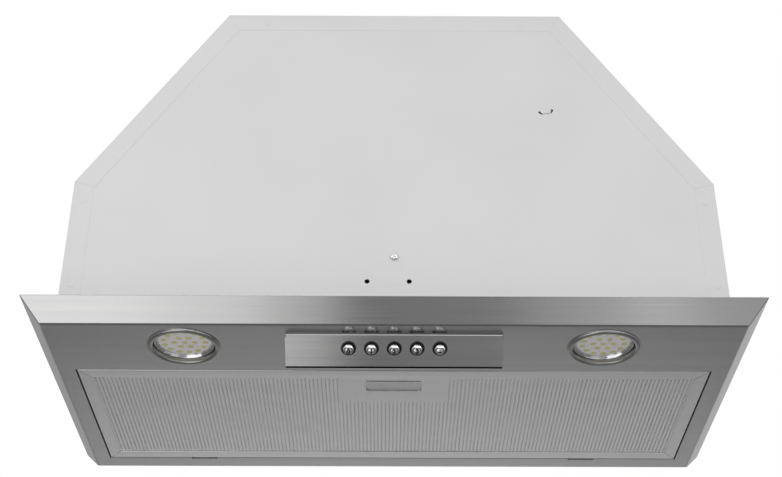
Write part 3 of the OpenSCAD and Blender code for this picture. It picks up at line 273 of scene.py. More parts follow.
def moulded(name, dark, light, roughness, grain=1200):
    """Moulded plastic with a fine grain."""
    material = finish(name, light, 0.0, roughness)
    tint(material, noise(material, (30, 30, 30), 3), dark, light)
    raise_surface(material, noise(material, (grain, grain, grain), 2), 0.00002, 0.4)
    return material


def plain_metal(name, dark, light, roughness, grain=150):
    """Plated or cast metal, slightly cloudy."""
    material = finish(name, light, 1.0, roughness[0])
    cloud = noise(material, (grain, grain, grain), 4)
    tint(material, cloud, dark, light)
    drive(material, "Roughness", spread(material, cloud, *roughness))
    raise_surface(material, noise(material, (grain * 8,) * 3, 2), 0.00001, 0.3)
    return material


FINISHES = {name: maker(name, *values) for maker, name, *values in (
    (brushed, "stainless", (0.54, 0.54, 0.54), (0.58, 0.58, 0.575), (0.13, 0.20)),
    (brushed, "satin_steel", (0.80, 0.80, 0.80), (0.84, 0.84, 0.835), (0.16, 0.22)),
    (painted, "white_paint", (0.76, 0.76, 0.765), (0.79, 0.79, 0.795)),
    (plain_metal, "chrome", (0.78, 0.78, 0.79), (0.84, 0.84, 0.85), (0.06, 0.10), 40),
    (plain_metal, "ring", (0.40, 0.40, 0.39), (0.47, 0.47, 0.46), (0.20, 0.28), 40),
    (plain_metal, "reflector", (0.74, 0.74, 0.74), (0.84, 0.84, 0.83), (0.14, 0.22), 60),
    (plain_metal, "mesh", (0.86, 0.86, 0.86), (0.91, 0.91, 0.905), (0.18, 0.25), 90),
    (plain_metal, "latch_pad", (0.76, 0.76, 0.765), (0.82, 0.82, 0.82), (0.30, 0.36), 120),
    (plain_metal, "zinc", (0.50, 0.51, 0.52), (0.66, 0.66, 0.65), (0.28, 0.42)),
    (moulded, "black_plastic", (0.020, 0.020, 0.021), (0.032, 0.032, 0.034), 0.5),
    (moulded, "black_gloss", (0.012, 0.012, 0.012), (0.018, 0.018, 0.018), 0.16, 600),
    (moulded, "grey_plastic", (0.15, 0.155, 0.16), (0.20, 0.205, 0.21), 0.46),
    (moulded, "led", (0.80, 0.78, 0.78), (0.86, 0.84, 0.84), 0.4),
    (moulded, "ceramic", (0.72, 0.69, 0.62), (0.80, 0.77, 0.70), 0.35),
    (plain_metal, "bronze", (0.42, 0.28, 0.13), (0.62, 0.44, 0.22), (0.30, 0.45)),
    (moulded, "rubber", (0.020, 0.020, 0.020), (0.034, 0.034, 0.034), 0.72, 900),
    (moulded, "phosphor", (0.56, 0.52, 0.12), (0.72, 0.68, 0.24), 0.45, 500),
    (moulded, "print", (0.014, 0.014, 0.014), (0.022, 0.022, 0.022), 0.4))}
FINISHES["glass"] = finish("glass", (0.90, 0.92, 0.92), 0.0, 0.06, Alpha=0.14, IOR=1.45)
# the light chips and their board get a faint painted glow; the lamps are off, and the glow stands in for
# light that hardly reaches them
PAINTED_GLOW = 0.08
for painted_glow_finish, color in (("led", (0.95, 0.92, 0.93, 1)), ("phosphor", (0.80, 0.76, 0.38, 1))):
    principled(FINISHES[painted_glow_finish])["Emission Color"].default_value = color
    principled(FINISHES[painted_glow_finish])["Emission Strength"].default_value = PAINTED_GLOW
for node, part in frame["nodes"].items():
    part.data.materials.clear()
    part.data.materials.append(FINISHES[SLOT_OF[node]])
print("finishes", len(FINISHES))

# %% [markdown]
# ## Rounded copies of the sheet-metal solids
#
# A CAD solid has knife-sharp edges, and a render gives that away at once. A copy of the solid has
# its loose triangles joined into faces, and a Bevel modifier rounds each edge by its own weight:
# a real bend gets its bend radius, and a cut edge only a hair.

# %% Helpers that finish a piece
made_pieces = []


def apply_modifiers(obj):
    """Turns what the modifiers show into a plain mesh on a new object of the same name."""
    evaluated = obj.evaluated_get(bpy.context.evaluated_depsgraph_get())
    mesh = bpy.data.meshes.new_from_object(evaluated)
    name = obj.name
    bpy.data.objects.remove(obj)
    plain = bpy.data.objects.new(name, mesh)
    bpy.context.scene.collection.objects.link(plain)
    return plain


def settle(obj, finish_name, node, replaces=True):
    """Gives a finished piece its look and its body; as a rule it stands for a CAD node."""
    obj.data.materials.clear()
    obj.data.materials.append(FINISHES[finish_name])
    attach(obj, BODY_OF[node])
    if replaces:
        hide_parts(node)
    made_pieces.append(obj.name)
    triangles = sum(len(p.vertices) - 2 for p in obj.data.polygons)
    print(obj.name, triangles, "triangles on", BODY_OF[node])


def mesh_object(name, mesh, smooth_degrees=35):
    """A new object from a bmesh, shaded smooth up to an angle."""
    data = bpy.data.meshes.new(name)
    bmesh.ops.recalc_face_normals(mesh, faces=mesh.faces)
    mesh.to_mesh(data)
    mesh.free()
    data.shade_smooth()
    data.set_sharp_from_angle(angle=math.radians(smooth_degrees))
    obj = bpy.data.objects.new(name, data)
    bpy.context.scene.collection.objects.link(obj)
    return obj


def joined_copy(node):
    """A bmesh of a CAD solid without the needless points on its flat faces."""
    mesh = bmesh.new()
    mesh.from_mesh(frame["nodes"][node].data)
    bmesh.ops.remove_doubles(mesh, verts=mesh.verts, dist=3e-6)
    bmesh.ops.dissolve_limit(mesh, angle_limit=math.radians(1), verts=mesh.verts, edges=mesh.edges)
    bmesh.ops.triangulate(mesh, faces=[face for face in mesh.faces if len(face.verts) > 4])
    return mesh


def rounded_piece(node, radius, cut=0.12, bend=None, flush=None, segments=3, finish_name=None, shape=None,
                  crisp=False):
    """Replaces a solid by a rounded copy; bend gives each bend its share of the radius, flush
    names the edges left sharp, shape may move points first, and crisp keeps each face's own normal."""
    mesh = joined_copy(node)
    if shape:
        shape(mesh)
    weight = mesh.edges.layers.float.new("bevel_weight_edge")
    for edge in mesh.edges:
        if len(edge.link_faces) == 2 and edge.calc_face_angle() > math.radians(20):
            sharp = flush and flush(edge)
            edge[weight] = float(bend(edge) if bend else 0) or (0.0 if sharp else cut)
    data = bpy.data.meshes.new(node)
    mesh.to_mesh(data)
    mesh.free()
    obj = bpy.data.objects.new(node + "_finished", data)
    bpy.context.scene.collection.objects.link(obj)
    bevel = obj.modifiers.new("round", "BEVEL")
    bevel.limit_method = "WEIGHT"
    bevel.width = radius * MM
    bevel.segments = segments
    bevel.miter_outer = "MITER_ARC"
    data.shade_smooth()
    if not crisp:
        flat = obj.modifiers.new("flat_faces", "WEIGHTED_NORMAL")
        flat.keep_sharp = True
        flat.weight = 100
    obj = apply_modifiers(obj)
    if crisp:
        obj.data.set_sharp_from_angle(angle=math.radians(3))
    settle(obj, finish_name or SLOT_OF[node], node)


def ends(edge):
    """The two ends of an edge, in millimetres."""
    return [v.co / MM for v in edge.verts]


def box_mm(node):
    """Lowest and highest corner of a CAD node, in millimetres."""
    return [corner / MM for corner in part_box(node)]


# %% Face plate and housing
plate_low, plate_high = box_mm("face_plate")
shell_low, shell_high = box_mm("wrapper")
BEVEL_W, FRONT_LEAN, FRONT_Y = 15, 2.5, -130
TOP_X, SHOULDER_Z = 153, 126.5


def plate_bend(edge):
    """The outer bends of the face plate, at its underside, its rim and its four corners."""
    a, b = ends(edge)
    under_x, under_y = plate_high.x - BEVEL_W - 5, plate_high.y - BEVEL_W - 5
    rim_x, rim_y = plate_high.x - 1, plate_high.y - 1
    at_under = all(abs(p.z - plate_low.z) < 0.1 and (abs(p.x) > under_x or abs(p.y) > under_y)
                   for p in (a, b))
    at_rim = all(abs(p.z) < 0.1 and (abs(p.x) > rim_x or abs(p.y) > rim_y) for p in (a, b))
    inner, outer = sorted((abs(a.x), abs(b.x)))
    at_corner = abs(a.z - b.z) > 10 and inner > rim_x - BEVEL_W and outer > rim_x
    return 1.0 if at_under else 0.5 if at_rim or at_corner else 0.0


def lean_front(mesh):
    """The front bevel leans a little more than the plain solid's."""
    for v in mesh.verts:
        if v.co.y / MM < FRONT_Y:
            v.co.y += FRONT_LEAN * v.co.z / plate_low.z


def slope_x(z):
    """Half the housing's width at a height on its sloping shoulder."""
    return shell_high.x + (TOP_X - shell_high.x) * (z - SHOULDER_Z) / (shell_high.z - SHOULDER_Z)


def shell_bend(edge):
    """The outer bends of the wrapper: along its corners and around both folds."""
    a, b = ends(edge)
    lengthwise = abs(a.y - b.y) > 200
    around = abs(a.y - b.y) < 0.01 and abs(abs(a.y) - shell_high.y) < 0.1
    on_outline = all(abs(p.x) > shell_high.x - 0.1 or p.z > shell_high.z - 0.1
                     or abs(abs(p.x) - slope_x(p.z)) < 0.2 for p in (a, b))
    return on_outline and (lengthwise or around)


rounded_piece("face_plate", 1.8, cut=0.06, bend=plate_bend, shape=lean_front)


def thin_folds(mesh):
    """Lets the folds over the front and rear panels thin out towards their inner edges."""
    for v in mesh.verts:
        x, y, z = v.co / MM
        inside = abs(x) < min(shell_high.x - 0.5, slope_x(max(z, SHOULDER_Z)) - 1) and z < shell_high.z - 0.5
        if abs(abs(y) - shell_high.y) < 0.1 and inside:
            v.co.y *= (shell_high.y - 0.6) / shell_high.y


rounded_piece("wrapper", 1.1, cut=0.12, bend=shell_bend, shape=thin_folds)


def box_pieces(name, boxes):
    """One closed box for each pair of opposite corners in mm, all in one object."""
    mesh = bmesh.new()
    for low, high in boxes:
        for v in bmesh.ops.create_cube(mesh, size=1)["verts"]:
            v.co = Vector([low[i] if v.co[i] < 0 else high[i] for i in range(3)]) * MM
    return mesh_object(name, mesh)


# a lip narrows the gap behind the filter; it leaves room for the two lugs that swing there
filter_low, filter_high = box_mm("filter_frame")
lip_y0, lip_y1, LIP_T = filter_high.y + 0.6, filter_high.y + 2.98, 0.8
settle(box_pieces("plate_rear_lip", [((x0, lip_y0, plate_low.z), (x1, lip_y1, plate_low.z + LIP_T))
                                     for x0, x1 in ((-269.8, -192), (-168, 168), (192, 269.8))]),
       "stainless", "face_plate")
for plain_sheet in ("rear_panel", "service_cover"):
    rounded_piece(plain_sheet, 0.9, cut=0.14, segments=2)


def round_bridge(mesh):
    """The two slots beside the cable bridge lie askew, and the bridge itself is low."""
    for v in mesh.verts:
        p = v.co / MM
        offset = p - BRIDGE_PLACE
        across = offset.x * math.cos(BRIDGE_TURN) - offset.z * math.sin(BRIDGE_TURN)
        beside_bridge = 3.9 < abs(across) < 7 and abs(offset.z) < 5
        if beside_bridge and p.y > -shell_high.y - 0.1:
            side = math.copysign(1, across)
            centre = BRIDGE_PLACE + Vector((math.cos(BRIDGE_TURN), 0, -math.sin(BRIDGE_TURN))) * 5 * side
            arm = Vector((p.x - centre.x, 0, p.z - centre.z))
            arm.rotate(Matrix.Rotation(side * SLOT_TURN, 3, "Y"))
            v.co = Vector((centre.x + arm.x, p.y, centre.z + arm.z)) * MM
        elif p.z > 190 and p.y < -shell_high.y:
            v.co.y = (-shell_high.y - 0.05) * MM


BRIDGE_PLACE = Vector((135, 0, 204))
BRIDGE_TURN, SLOT_TURN = math.radians(-12), math.radians(42)
rounded_piece("front_panel", 0.9, cut=0.14, segments=2, shape=round_bridge)


# %% [markdown]
# ## Perforated sheets of the grease filter
#
# The lower sheet of the filter has thousands of small holes in staggered rows. Cutting them with
# booleans is slow and untidy. Here Geometry Nodes stamp one small hexagon with a hole in it on
# every point of a staggered grid. The hexagons meet edge to edge like a honeycomb, so the result
# is one flat sheet, and Extrude Mesh gives it its thickness. A second, smaller tree stamps any
# piece on a list of places; the lamps, buttons and fasteners below use it.


# %% Helpers for Geometry Nodes
def new_tree(name, sockets):
    """A tree whose modifier has the named inputs, each with its socket type, and those inputs."""
    tree = bpy.data.node_groups.new(name, "GeometryNodeTree")
    tree.interface.new_socket("Geometry", in_out="OUTPUT", socket_type="NodeSocketGeometry")
    tree.interface.new_socket("Geometry", in_out="INPUT", socket_type="NodeSocketGeometry")
    for label, kind in sockets.items():
        tree.interface.new_socket(label, in_out="INPUT", socket_type="NodeSocket" + kind)
    return tree, tree.nodes.new("NodeGroupInput").outputs


def end_tree(tree, geometry, material):
    """Every tree ends in Realize Instances and Set Material."""
    solid = step(tree, "GeometryNodeRealizeInstances", {"Geometry": geometry})
    solid = step(tree, "GeometryNodeSetMaterial", {"Geometry": solid, "Material": material})
    add(tree, "NodeGroupOutput", {"Geometry": solid})


def shape_of(tree, obj):
    """The geometry of an object that is one of the tree's inputs."""
    return add(tree, "GeometryNodeObjectInfo", {"Object": obj}).outputs["Geometry"]


def grow(name, tree, values):
    """Runs a tree on an empty object, sets its inputs by identifier, and keeps the plain mesh."""
    obj = bpy.data.objects.new(name, bpy.data.meshes.new(name))
    bpy.context.scene.collection.objects.link(obj)
    modifier = obj.modifiers.new(name, "NODES")
    modifier.node_group = tree
    for socket in tree.interface.items_tree:
        if socket.in_out == "INPUT" and socket.name in values:
            modifier[socket.identifier] = values[socket.name]
    return apply_modifiers(obj)


# %% A tree that lays perforated sheet
sheet_tree, given = new_tree("perforated_sheet", {
    "Tile": "Object", "Columns": "Int", "Rows": "Int", "Pitch": "Float", "Thickness": "Float",
    "Centre": "Vector", "Cut half width": "Float", "Cut depth": "Float", "Material": "Material"})
sheet, sums = partial(step, sheet_tree), partial(reckon, sheet_tree)
row_gap = sums("MULTIPLY", given["Pitch"], math.sqrt(3) / 2)
last_column = sums("SUBTRACT", given["Columns"], 1.0)
last_row = sums("SUBTRACT", given["Rows"], 1.0)
points = sheet("GeometryNodeMeshGrid", {
    "Size X": sums("MULTIPLY", last_column, row_gap),
    "Size Y": sums("MULTIPLY", last_row, given["Pitch"]),
    "Vertices X": given["Columns"], "Vertices Y": given["Rows"]})
column = sums("FLOOR", sums("DIVIDE", sheet("GeometryNodeInputIndex"), given["Rows"]))
half_pitch = sums("MULTIPLY", given["Pitch"], 0.5)
shift = sheet("ShaderNodeCombineXYZ", {"Y": sums("MULTIPLY", sums("MODULO", column, 2.0), half_pitch)})
points = sheet("GeometryNodeSetPosition", {"Geometry": points, "Offset": shift})
points = sheet("GeometryNodeTransform", {"Geometry": points, "Translation": given["Centre"]})
place = add(sheet_tree, "ShaderNodeSeparateXYZ", {0: sheet("GeometryNodeInputPosition")}).outputs
near_middle = sums("LESS_THAN", sums("ABSOLUTE", place["X"]), given["Cut half width"])
near_front = sums("LESS_THAN", place["Y"], given["Cut depth"])
points = sheet("GeometryNodeDeleteGeometry", {
    "Geometry": points, "Selection": sums("MULTIPLY", near_middle, near_front)})
flat = sheet("GeometryNodeInstanceOnPoints", {
    "Points": points, "Instance": shape_of(sheet_tree, given["Tile"])})
flat = sheet("GeometryNodeRealizeInstances", {"Geometry": flat})
flat = sheet("GeometryNodeMergeByDistance", {"Geometry": flat, "Distance": 2e-5})
raised = sheet("GeometryNodeExtrudeMesh", {
    "Mesh": flat, "Offset Scale": given["Thickness"], "Individual": False})
underside = sheet("GeometryNodeFlipFaces", {"Mesh": flat})
solid = sheet("GeometryNodeJoinGeometry", {"Geometry": [raised, underside]})
solid = sheet("GeometryNodeMergeByDistance", {"Geometry": solid, "Distance": 2e-5})
end_tree(sheet_tree, solid, given["Material"])

# %% A tree that stamps a piece on places
stamp_tree, given = new_tree("stamp", {"Piece": "Object", "Places": "Object", "Material": "Material"})
stamped = step(stamp_tree, "GeometryNodeInstanceOnPoints", {
    "Points": shape_of(stamp_tree, given["Places"]), "Instance": shape_of(stamp_tree, given["Piece"])})
end_tree(stamp_tree, stamped, given["Material"])


def stamp(name, piece, places, finish_name, node):
    """Puts a piece at each place in mm, and uses the piece up."""
    data = bpy.data.meshes.new("places")
    data.from_pydata([tuple(p * MM) for p in places], [], [])
    markers = bpy.data.objects.new("places", data)
    obj = grow(name, stamp_tree, {"Piece": piece, "Places": markers, "Material": FINISHES[finish_name]})
    for used in (piece, markers):
        bpy.data.objects.remove(used)
    settle(obj, finish_name, node)


print("tree nodes", len(sheet_tree.nodes), "and", len(stamp_tree.nodes))


# %% The tile and the two sheets
def hexagon_tile(pitch, hole_d, round_hole=True):
    """A flat hexagon, two sides facing along Y, with a twelve-sided or a six-sided hole."""
    mesh = bmesh.new()
    around = [Vector((math.cos(a), math.sin(a), 0)) for a in (math.pi * k / 6 for k in range(12))]
    outer = [mesh.verts.new(around[2 * k] * (pitch / math.sqrt(3)) * MM) for k in range(6)]
    inner = [mesh.verts.new(p * (hole_d / 2) * MM) for p in around[::1 if round_hole else 2]]
    for k in range(6):
        a, b = outer[k], outer[(k + 1) % 6]
        if round_hole:
            p, q, r = inner[2 * k], inner[2 * k + 1], inner[(2 * k + 2) % 12]
            for corners in ((a, b, q), (a, q, p), (b, r, q)):
                mesh.faces.new(corners)
        else:
            mesh.faces.new((a, b, inner[(k + 1) % 6], inner[k]))
    data = bpy.data.meshes.new("tile")
    mesh.to_mesh(data)
    mesh.free()
    return bpy.data.objects.new("tile", data)


def cell_plate(name, xs, ys, z0, z1, solid_cell):
    """A closed plate made of the cells of a grid that solid_cell keeps, in mm."""
    mesh = bmesh.new()
    corner = {(i, j, k): mesh.verts.new(Vector((x, y, z)) * MM)
              for i, x in enumerate(xs) for j, y in enumerate(ys) for k, z in enumerate((z0, z1))}
    kept = {(i, j) for i in range(len(xs) - 1) for j in range(len(ys) - 1) if solid_cell(i, j)}
    for i, j in kept:
        loop = [(i, j), (i + 1, j), (i + 1, j + 1), (i, j + 1)]
        for k in (0, 1):
            mesh.faces.new([corner[(*c, k)] for c in loop])
        beside = [(i, j - 1), (i + 1, j), (i, j + 1), (i - 1, j)]
        for n, neighbour in enumerate(beside):
            if neighbour not in kept:
                a, b = loop[n], loop[(n + 1) % 4]
                mesh.faces.new([corner[(*a, 0)], corner[(*b, 0)], corner[(*b, 1)], corner[(*a, 1)]])
    bmesh.ops.delete(mesh, geom=[v for v in mesh.verts if not v.link_faces], context="VERTS")
    return mesh_object(name, mesh)


sheet_low, sheet_high = box_mm("filter_face_mesh")
SHEET_X, SHEET_Y0, SHEET_Y1, SHEET_MIDDLE = sheet_high.x, sheet_low.y, sheet_high.y, 31.5
FACE_Z, BACK_Z, SHEET_T = sheet_low.z, box_mm("filter_back_mesh")[0].z, 0.6
CUT_X, CUT_Y, CUT_RIM = 30.3, -4.7, 3
INSET = 0.08
FINE_PITCH, COARSE_PITCH, CORE_PITCH = 4.0, 8.0, 5.0
fine_tile = hexagon_tile(FINE_PITCH, 1.75)
coarse_tile = hexagon_tile(COARSE_PITCH, 5.0)
strand_tile = hexagon_tile(CORE_PITCH, 4.2, round_hole=False)
dense_tile = hexagon_tile(CORE_PITCH, 1.6, round_hole=False)


def perforated(name, node, tile, columns, rows, pitch, centre, cut, thickness=SHEET_T - 2 * INSET):
    """One perforated sheet; it lies a hair inside the plain border that holds its edge."""
    obj = grow(name, sheet_tree, {
        "Tile": tile, "Columns": columns, "Rows": rows, "Pitch": pitch * MM,
        "Thickness": thickness * MM, "Centre": Vector(centre) * MM,
        "Cut half width": cut[0] * MM, "Cut depth": cut[1] * MM, "Material": FINISHES["mesh"]})
    settle(obj, "mesh", node)


row_step = FINE_PITCH * math.sqrt(3) / 2
for side, columns, start in (("left", 76, -75), ("right", 75, 1)):
    middle = (start + (columns - 1) / 2) * row_step
    perforated("face_mesh_" + side, "filter_face_mesh", fine_tile, columns, 41, FINE_PITCH,
               (middle, SHEET_MIDDLE - FINE_PITCH / 4, FACE_Z + INSET), (CUT_X + 2.6, CUT_Y + 2.2))
perforated("back_mesh", "filter_back_mesh", coarse_tile, 75, 20, COARSE_PITCH,
           (0, SHEET_MIDDLE - COARSE_PITCH / 4, BACK_Z + INSET), (0, -100))
for layer, (tile, height, aside) in enumerate(((dense_tile, -15.85, 0), (dense_tile, -15.5, 1.9),
                                               (strand_tile, -13.4, -1.2), (strand_tile, -11.6, 0.7))):
    perforated("core_layer_%d" % layer, "filter_core", tile, 120, 34, CORE_PITCH,
               (aside, SHEET_MIDDLE - 2.25 + aside, height), (CUT_X + CUT_RIM, CUT_Y + CUT_RIM), 0.25)

face_xs = [-SHEET_X, -258.9, -CUT_X - CUT_RIM, -CUT_X, CUT_X, CUT_X + CUT_RIM, 258.9, SHEET_X]
face_ys = [SHEET_Y0, -47.7, CUT_Y, CUT_Y + CUT_RIM, 109.7, SHEET_Y1]


def face_border(i, j):
    """All but the perforated field and the opening for the latch."""
    at_edge = i in (0, 6) or j in (0, 4)
    around_cut = 2 <= i <= 4 and j <= 2
    opening = i == 3 and j <= 1
    return (at_edge or around_cut) and not opening


settle(cell_plate("face_mesh_border", face_xs, face_ys, FACE_Z, FACE_Z + SHEET_T, face_border),
       "mesh", "filter_face_mesh")
settle(cell_plate("back_mesh_border", [-SHEET_X, -259, 259, SHEET_X], [SHEET_Y0, -47, 110, SHEET_Y1],
                  BACK_Z, BACK_Z + SHEET_T, lambda i, j: (i, j) != (1, 1)),
       "mesh", "filter_back_mesh")
for tile in (fine_tile, coarse_tile, strand_tile, dense_tile):
    bpy.data.objects.remove(tile)

# %% [markdown]
# ## Filter frame and latch
#
# The frame is a folded channel with mitred corners. The latch plate lies in one plane with it, so
# the edge where the two meet gets no rounding and the joint stays a hairline.

# %% Frame, plate and slider
RAIL_BOTTOM = filter_low.z
PLATE_FRONT = -46.5


def frame_fold(edge):
    """The outer lower bends of the filter frame."""
    return all(abs(p.z - RAIL_BOTTOM) < 0.05
               and (abs(p.x) > filter_high.x - 0.1 or p.y < filter_low.y + 0.1 or p.y > filter_high.y - 0.1)
               for p in ends(edge))


def beside_plate(edge):
    """Edges where the latch plate and the front rail meet."""
    return all(abs(p.y - PLATE_FRONT) < 0.05 for p in ends(edge))


rounded_piece("filter_frame", 0.9, cut=0.2, bend=frame_fold, flush=beside_plate, finish_name="satin_steel")
rounded_piece("latch_plate", 0.3, cut=0.6, flush=beside_plate, segments=2, finish_name="satin_steel")
rounded_piece("latch_slider", 0.5, cut=0.8, segments=2)
rounded_piece("latch_housing", 0.3, cut=0.8, segments=2)
rounded_piece("filter_lugs", 0.3, cut=0.6, segments=2)


# %% [markdown]
# ## Control strip
#
# The strip is a tilted steel cover. Its edges are bent, not cut, so they catch a bright line.
# The buttons are turned parts, so each is a profile spun around its axis.

# %% Control cover
CAD_TILT, STRIP_LEN, EDGE_SHIFT = math.radians(40), 26.6, 2.3
cad_top = Vector((0, box_mm("control_cover")[0].y, RAIL_BOTTOM - 0.3))
cad_down = Vector((0, math.cos(CAD_TILT), -math.sin(CAD_TILT)))
cad_out = Vector((0, -math.sin(CAD_TILT), -math.cos(CAD_TILT)))


def moved_out(place):
    """A place on the CAD's face, moved to the finished face, which is a little less steep."""
    share = 1 - (place - cad_top).dot(cad_down) / STRIP_LEN
    return place + cad_out * EDGE_SHIFT * max(0, share)


STRIP_TOP = moved_out(cad_top)
STRIP_DOWN = (moved_out(cad_top + cad_down * STRIP_LEN) - STRIP_TOP).normalized()
STRIP_OUT = Vector((0, STRIP_DOWN.z, -STRIP_DOWN.y))
EDGE_R, EDGE_WALL, EDGE_CUTS = 1.6, 0.15, 8
COVER_TOP = RAIL_BOTTOM - 0.05


def strip_bend(edge):
    """The outer edges of the control cover; the lower one is bent tighter than the sides."""
    a, b = ends(edge)
    if any(abs((p - STRIP_TOP).dot(STRIP_OUT)) > 0.1 for p in (a, b)):
        return 0.0
    at_side = all(abs(p.x) > 85 for p in (a, b))
    at_foot = all((p - STRIP_TOP).dot(STRIP_DOWN) > 26 for p in (a, b))
    return 1.0 if at_side else 0.35 if at_foot else 0.0


def bent_edge(mesh):
    """Moves the face out and rounds its front edge up to the plate, by cuts along an arc."""
    for v in mesh.verts:
        p = v.co / MM
        if abs((p - cad_top).dot(cad_out)) < 0.1:
            p = moved_out(p)
            if abs(v.co.z / MM - cad_top.z) < 0.05:
                p -= STRIP_DOWN * ((COVER_TOP - p.z) / -STRIP_DOWN.z)
        elif abs(p.z - cad_top.z) < 0.05:
            p.z = COVER_TOP
        v.co = p * MM
    rise = COVER_TOP - EDGE_WALL - STRIP_TOP.z
    centre = STRIP_TOP + Vector((0, (EDGE_R + STRIP_OUT.z * rise) / -STRIP_OUT.y, rise))
    face_angle = math.atan2(-STRIP_OUT.y, -STRIP_OUT.z)
    for k in range(1, EDGE_CUTS + 1):
        angle = face_angle + (math.pi / 2 - face_angle) * k / EDGE_CUTS
        out = Vector((0, -math.sin(angle), -math.cos(angle)))
        everything = mesh.verts[:] + mesh.edges[:] + mesh.faces[:]
        cut = bmesh.ops.bisect_plane(mesh, geom=everything, clear_outer=True,
                                     plane_co=(centre + out * EDGE_R) * MM, plane_no=out)
        open_edges = [e for e in cut["geom_cut"] if isinstance(e, bmesh.types.BMEdge)]
        bmesh.ops.edgeloop_fill(mesh, edges=open_edges)


rounded_piece("control_cover", 0.8, cut=0.15, bend=strip_bend, segments=6, shape=bent_edge, crisp=True)


# %% Turned pieces
def turned(name, profile, place, axis, steps=48, smooth_degrees=30):
    """Spins a profile of (radius, height) points in mm around an axis through a place in mm."""
    mesh = bmesh.new()
    side = axis.orthogonal().normalized()
    across = axis.cross(side)
    rings = []
    for radius, height in profile:
        centre = place + axis * height
        if radius < 1e-6:
            rings.append([mesh.verts.new(centre * MM)])
            continue
        rings.append([mesh.verts.new((centre + radius * (math.cos(a) * side + math.sin(a) * across)) * MM)
                      for a in (2 * math.pi * k / steps for k in range(steps))])
    for low, high in zip(rings, rings[1:]):
        for k in range(steps):
            n = (k + 1) % steps
            corners = [low[k % len(low)], low[n % len(low)], high[n % len(high)], high[k % len(high)]]
            corners = list(dict.fromkeys(corners))
            if len(corners) > 2:
                mesh.faces.new(corners)
    return mesh_object(name, mesh, smooth_degrees)


# %% [markdown]
# ## Lamps
#
# Each lamp is a bright reflector cup behind a satin ring. Its wall is cut into small facets, which
# sparkle, and at its bottom sits a white board with yellow light chips under a glass. The ring and
# the cup are turned shapes. The chips stand on two circles of points around one in the middle.

# %% Lamp places
LAMP_X, LAMP_Y, LAMP_FACE_Z = 173.0, -102.8, -15.3
LAMP_SIDES = {"left": -1, "right": 1}
LAMP_R, WELL_R, WELL_DEPTH = 25.0, 22.0, 2.8
UP = Vector((0, 0, 1))
ORIGIN = Vector()


def lamp_ring_profile(inner=25.4, outer=30.5, sleeve=26.5, proud=1.9, steps=20):
    """Closed outline of the ring: a sleeve and a rounded lip, as (radius, height)."""
    lip = [((inner + outer) / 2 - (outer - inner) / 2 * math.cos(math.pi * k / steps),
            -proud * math.sin(math.pi * k / steps) ** 0.8) for k in range(steps + 1)]
    return [(sleeve, 0), (sleeve, 12), (inner, 12)] + lip + [(sleeve, 0)]


def cup_piece(name, place, facets=44):
    """The reflector cup: a smooth outside and a faceted wall in front."""
    r = LAMP_R
    wall = [(WELL_R + 0.1, WELL_DEPTH - 0.2, 0.0), (22.6, 1.9, 0.5), (23.5, 0.9, 0.0), (r - 0.7, 0.1, 0.5)]
    outside = [(r - 0.45, 0.02), (r - 0.15, 0.1), (r, 0.6), (r, 7), (r - 4, 16), (r - 9, 26), (9.6, 35),
               (9, 36), (9, 49.4), (8.4, 50)]
    mesh = bmesh.new()

    def ring(radius, height, turn, zigzag):
        """Corners around the lamp's axis; every other one stands out by zigzag."""
        corners = []
        for k in range(facets):
            out, angle = radius + zigzag * (k % 2), 2 * math.pi * (k + turn) / facets
            corners.append(place + Vector((out * math.cos(angle), out * math.sin(angle), height)))
        return [mesh.verts.new(corner * MM) for corner in corners]

    rings = [ring(*level, 0.25) for level in wall] + [ring(*level, 0.5, 0) for level in outside]
    base = mesh.verts.new((place + UP * 50) * MM)
    well_middle = mesh.verts.new((place + UP * WELL_DEPTH) * MM)
    for n, (low, high) in enumerate(zip(rings, rings[1:])):
        for k in range(facets):
            m = (k + 1) % facets
            corners = (low[k], low[m], high[m], high[k])
            if n >= len(wall) - 1:
                mesh.faces.new(corners)
                continue
            halves = ((0, 1, 3), (1, 2, 3)) if wall[n + 1][2] > wall[n][2] else ((0, 1, 2), (0, 2, 3))
            for half in halves:
                mesh.faces.new([corners[c] for c in half])
    for k in range(facets):
        m = (k + 1) % facets
        mesh.faces.new((rings[-1][k], rings[-1][m], base))
        mesh.faces.new((rings[0][m], rings[0][k], well_middle))
    return mesh_object(name, mesh, 12)


glass_profile = [(0, 0.7), (WELL_R - 0.2, 0.7), (WELL_R, 0.9), (WELL_R, 1.2), (0, 1.2)]
for side, sign in LAMP_SIDES.items():
    seat = Vector((sign * LAMP_X, LAMP_Y, plate_low.z))
    face = Vector((sign * LAMP_X, LAMP_Y, LAMP_FACE_Z))
    settle(turned("lamp_ring_" + side + "_turned", lamp_ring_profile(), seat, UP, 96, 40),
           "ring", "lamp_ring_" + side)
    settle(cup_piece("lamp_cup_" + side, face), "reflector", "lamp_body_" + side)
    settle(turned("lamp_window_" + side, glass_profile, face, UP, 72, 30), "glass", "lamp_glass_" + side)


# %% Light chips
CHIP_DROP, CHIP_CIRCLES = 0.22, ((6, 8.3), (13, 17.2), (1, 0))


def chip_body(half=2.7, z0=-0.8, z1=-0.1, bevel=0.25):
    """A small block around the origin with bevelled upright edges, in mm."""
    mesh = bmesh.new()
    outline = [(half, half - bevel), (half - bevel, half), (bevel - half, half), (-half, half - bevel),
               (-half, bevel - half), (bevel - half, -half), (half - bevel, -half), (half, bevel - half)]
    low, high = ([mesh.verts.new(Vector((x, y, z)) * MM) for x, y in outline] for z in (z0, z1))
    mesh.faces.new(low)
    mesh.faces.new(high)
    for k in range(8):
        mesh.faces.new((low[k], low[(k + 1) % 8], high[(k + 1) % 8], high[k]))
    return mesh_object("chip_body", mesh)


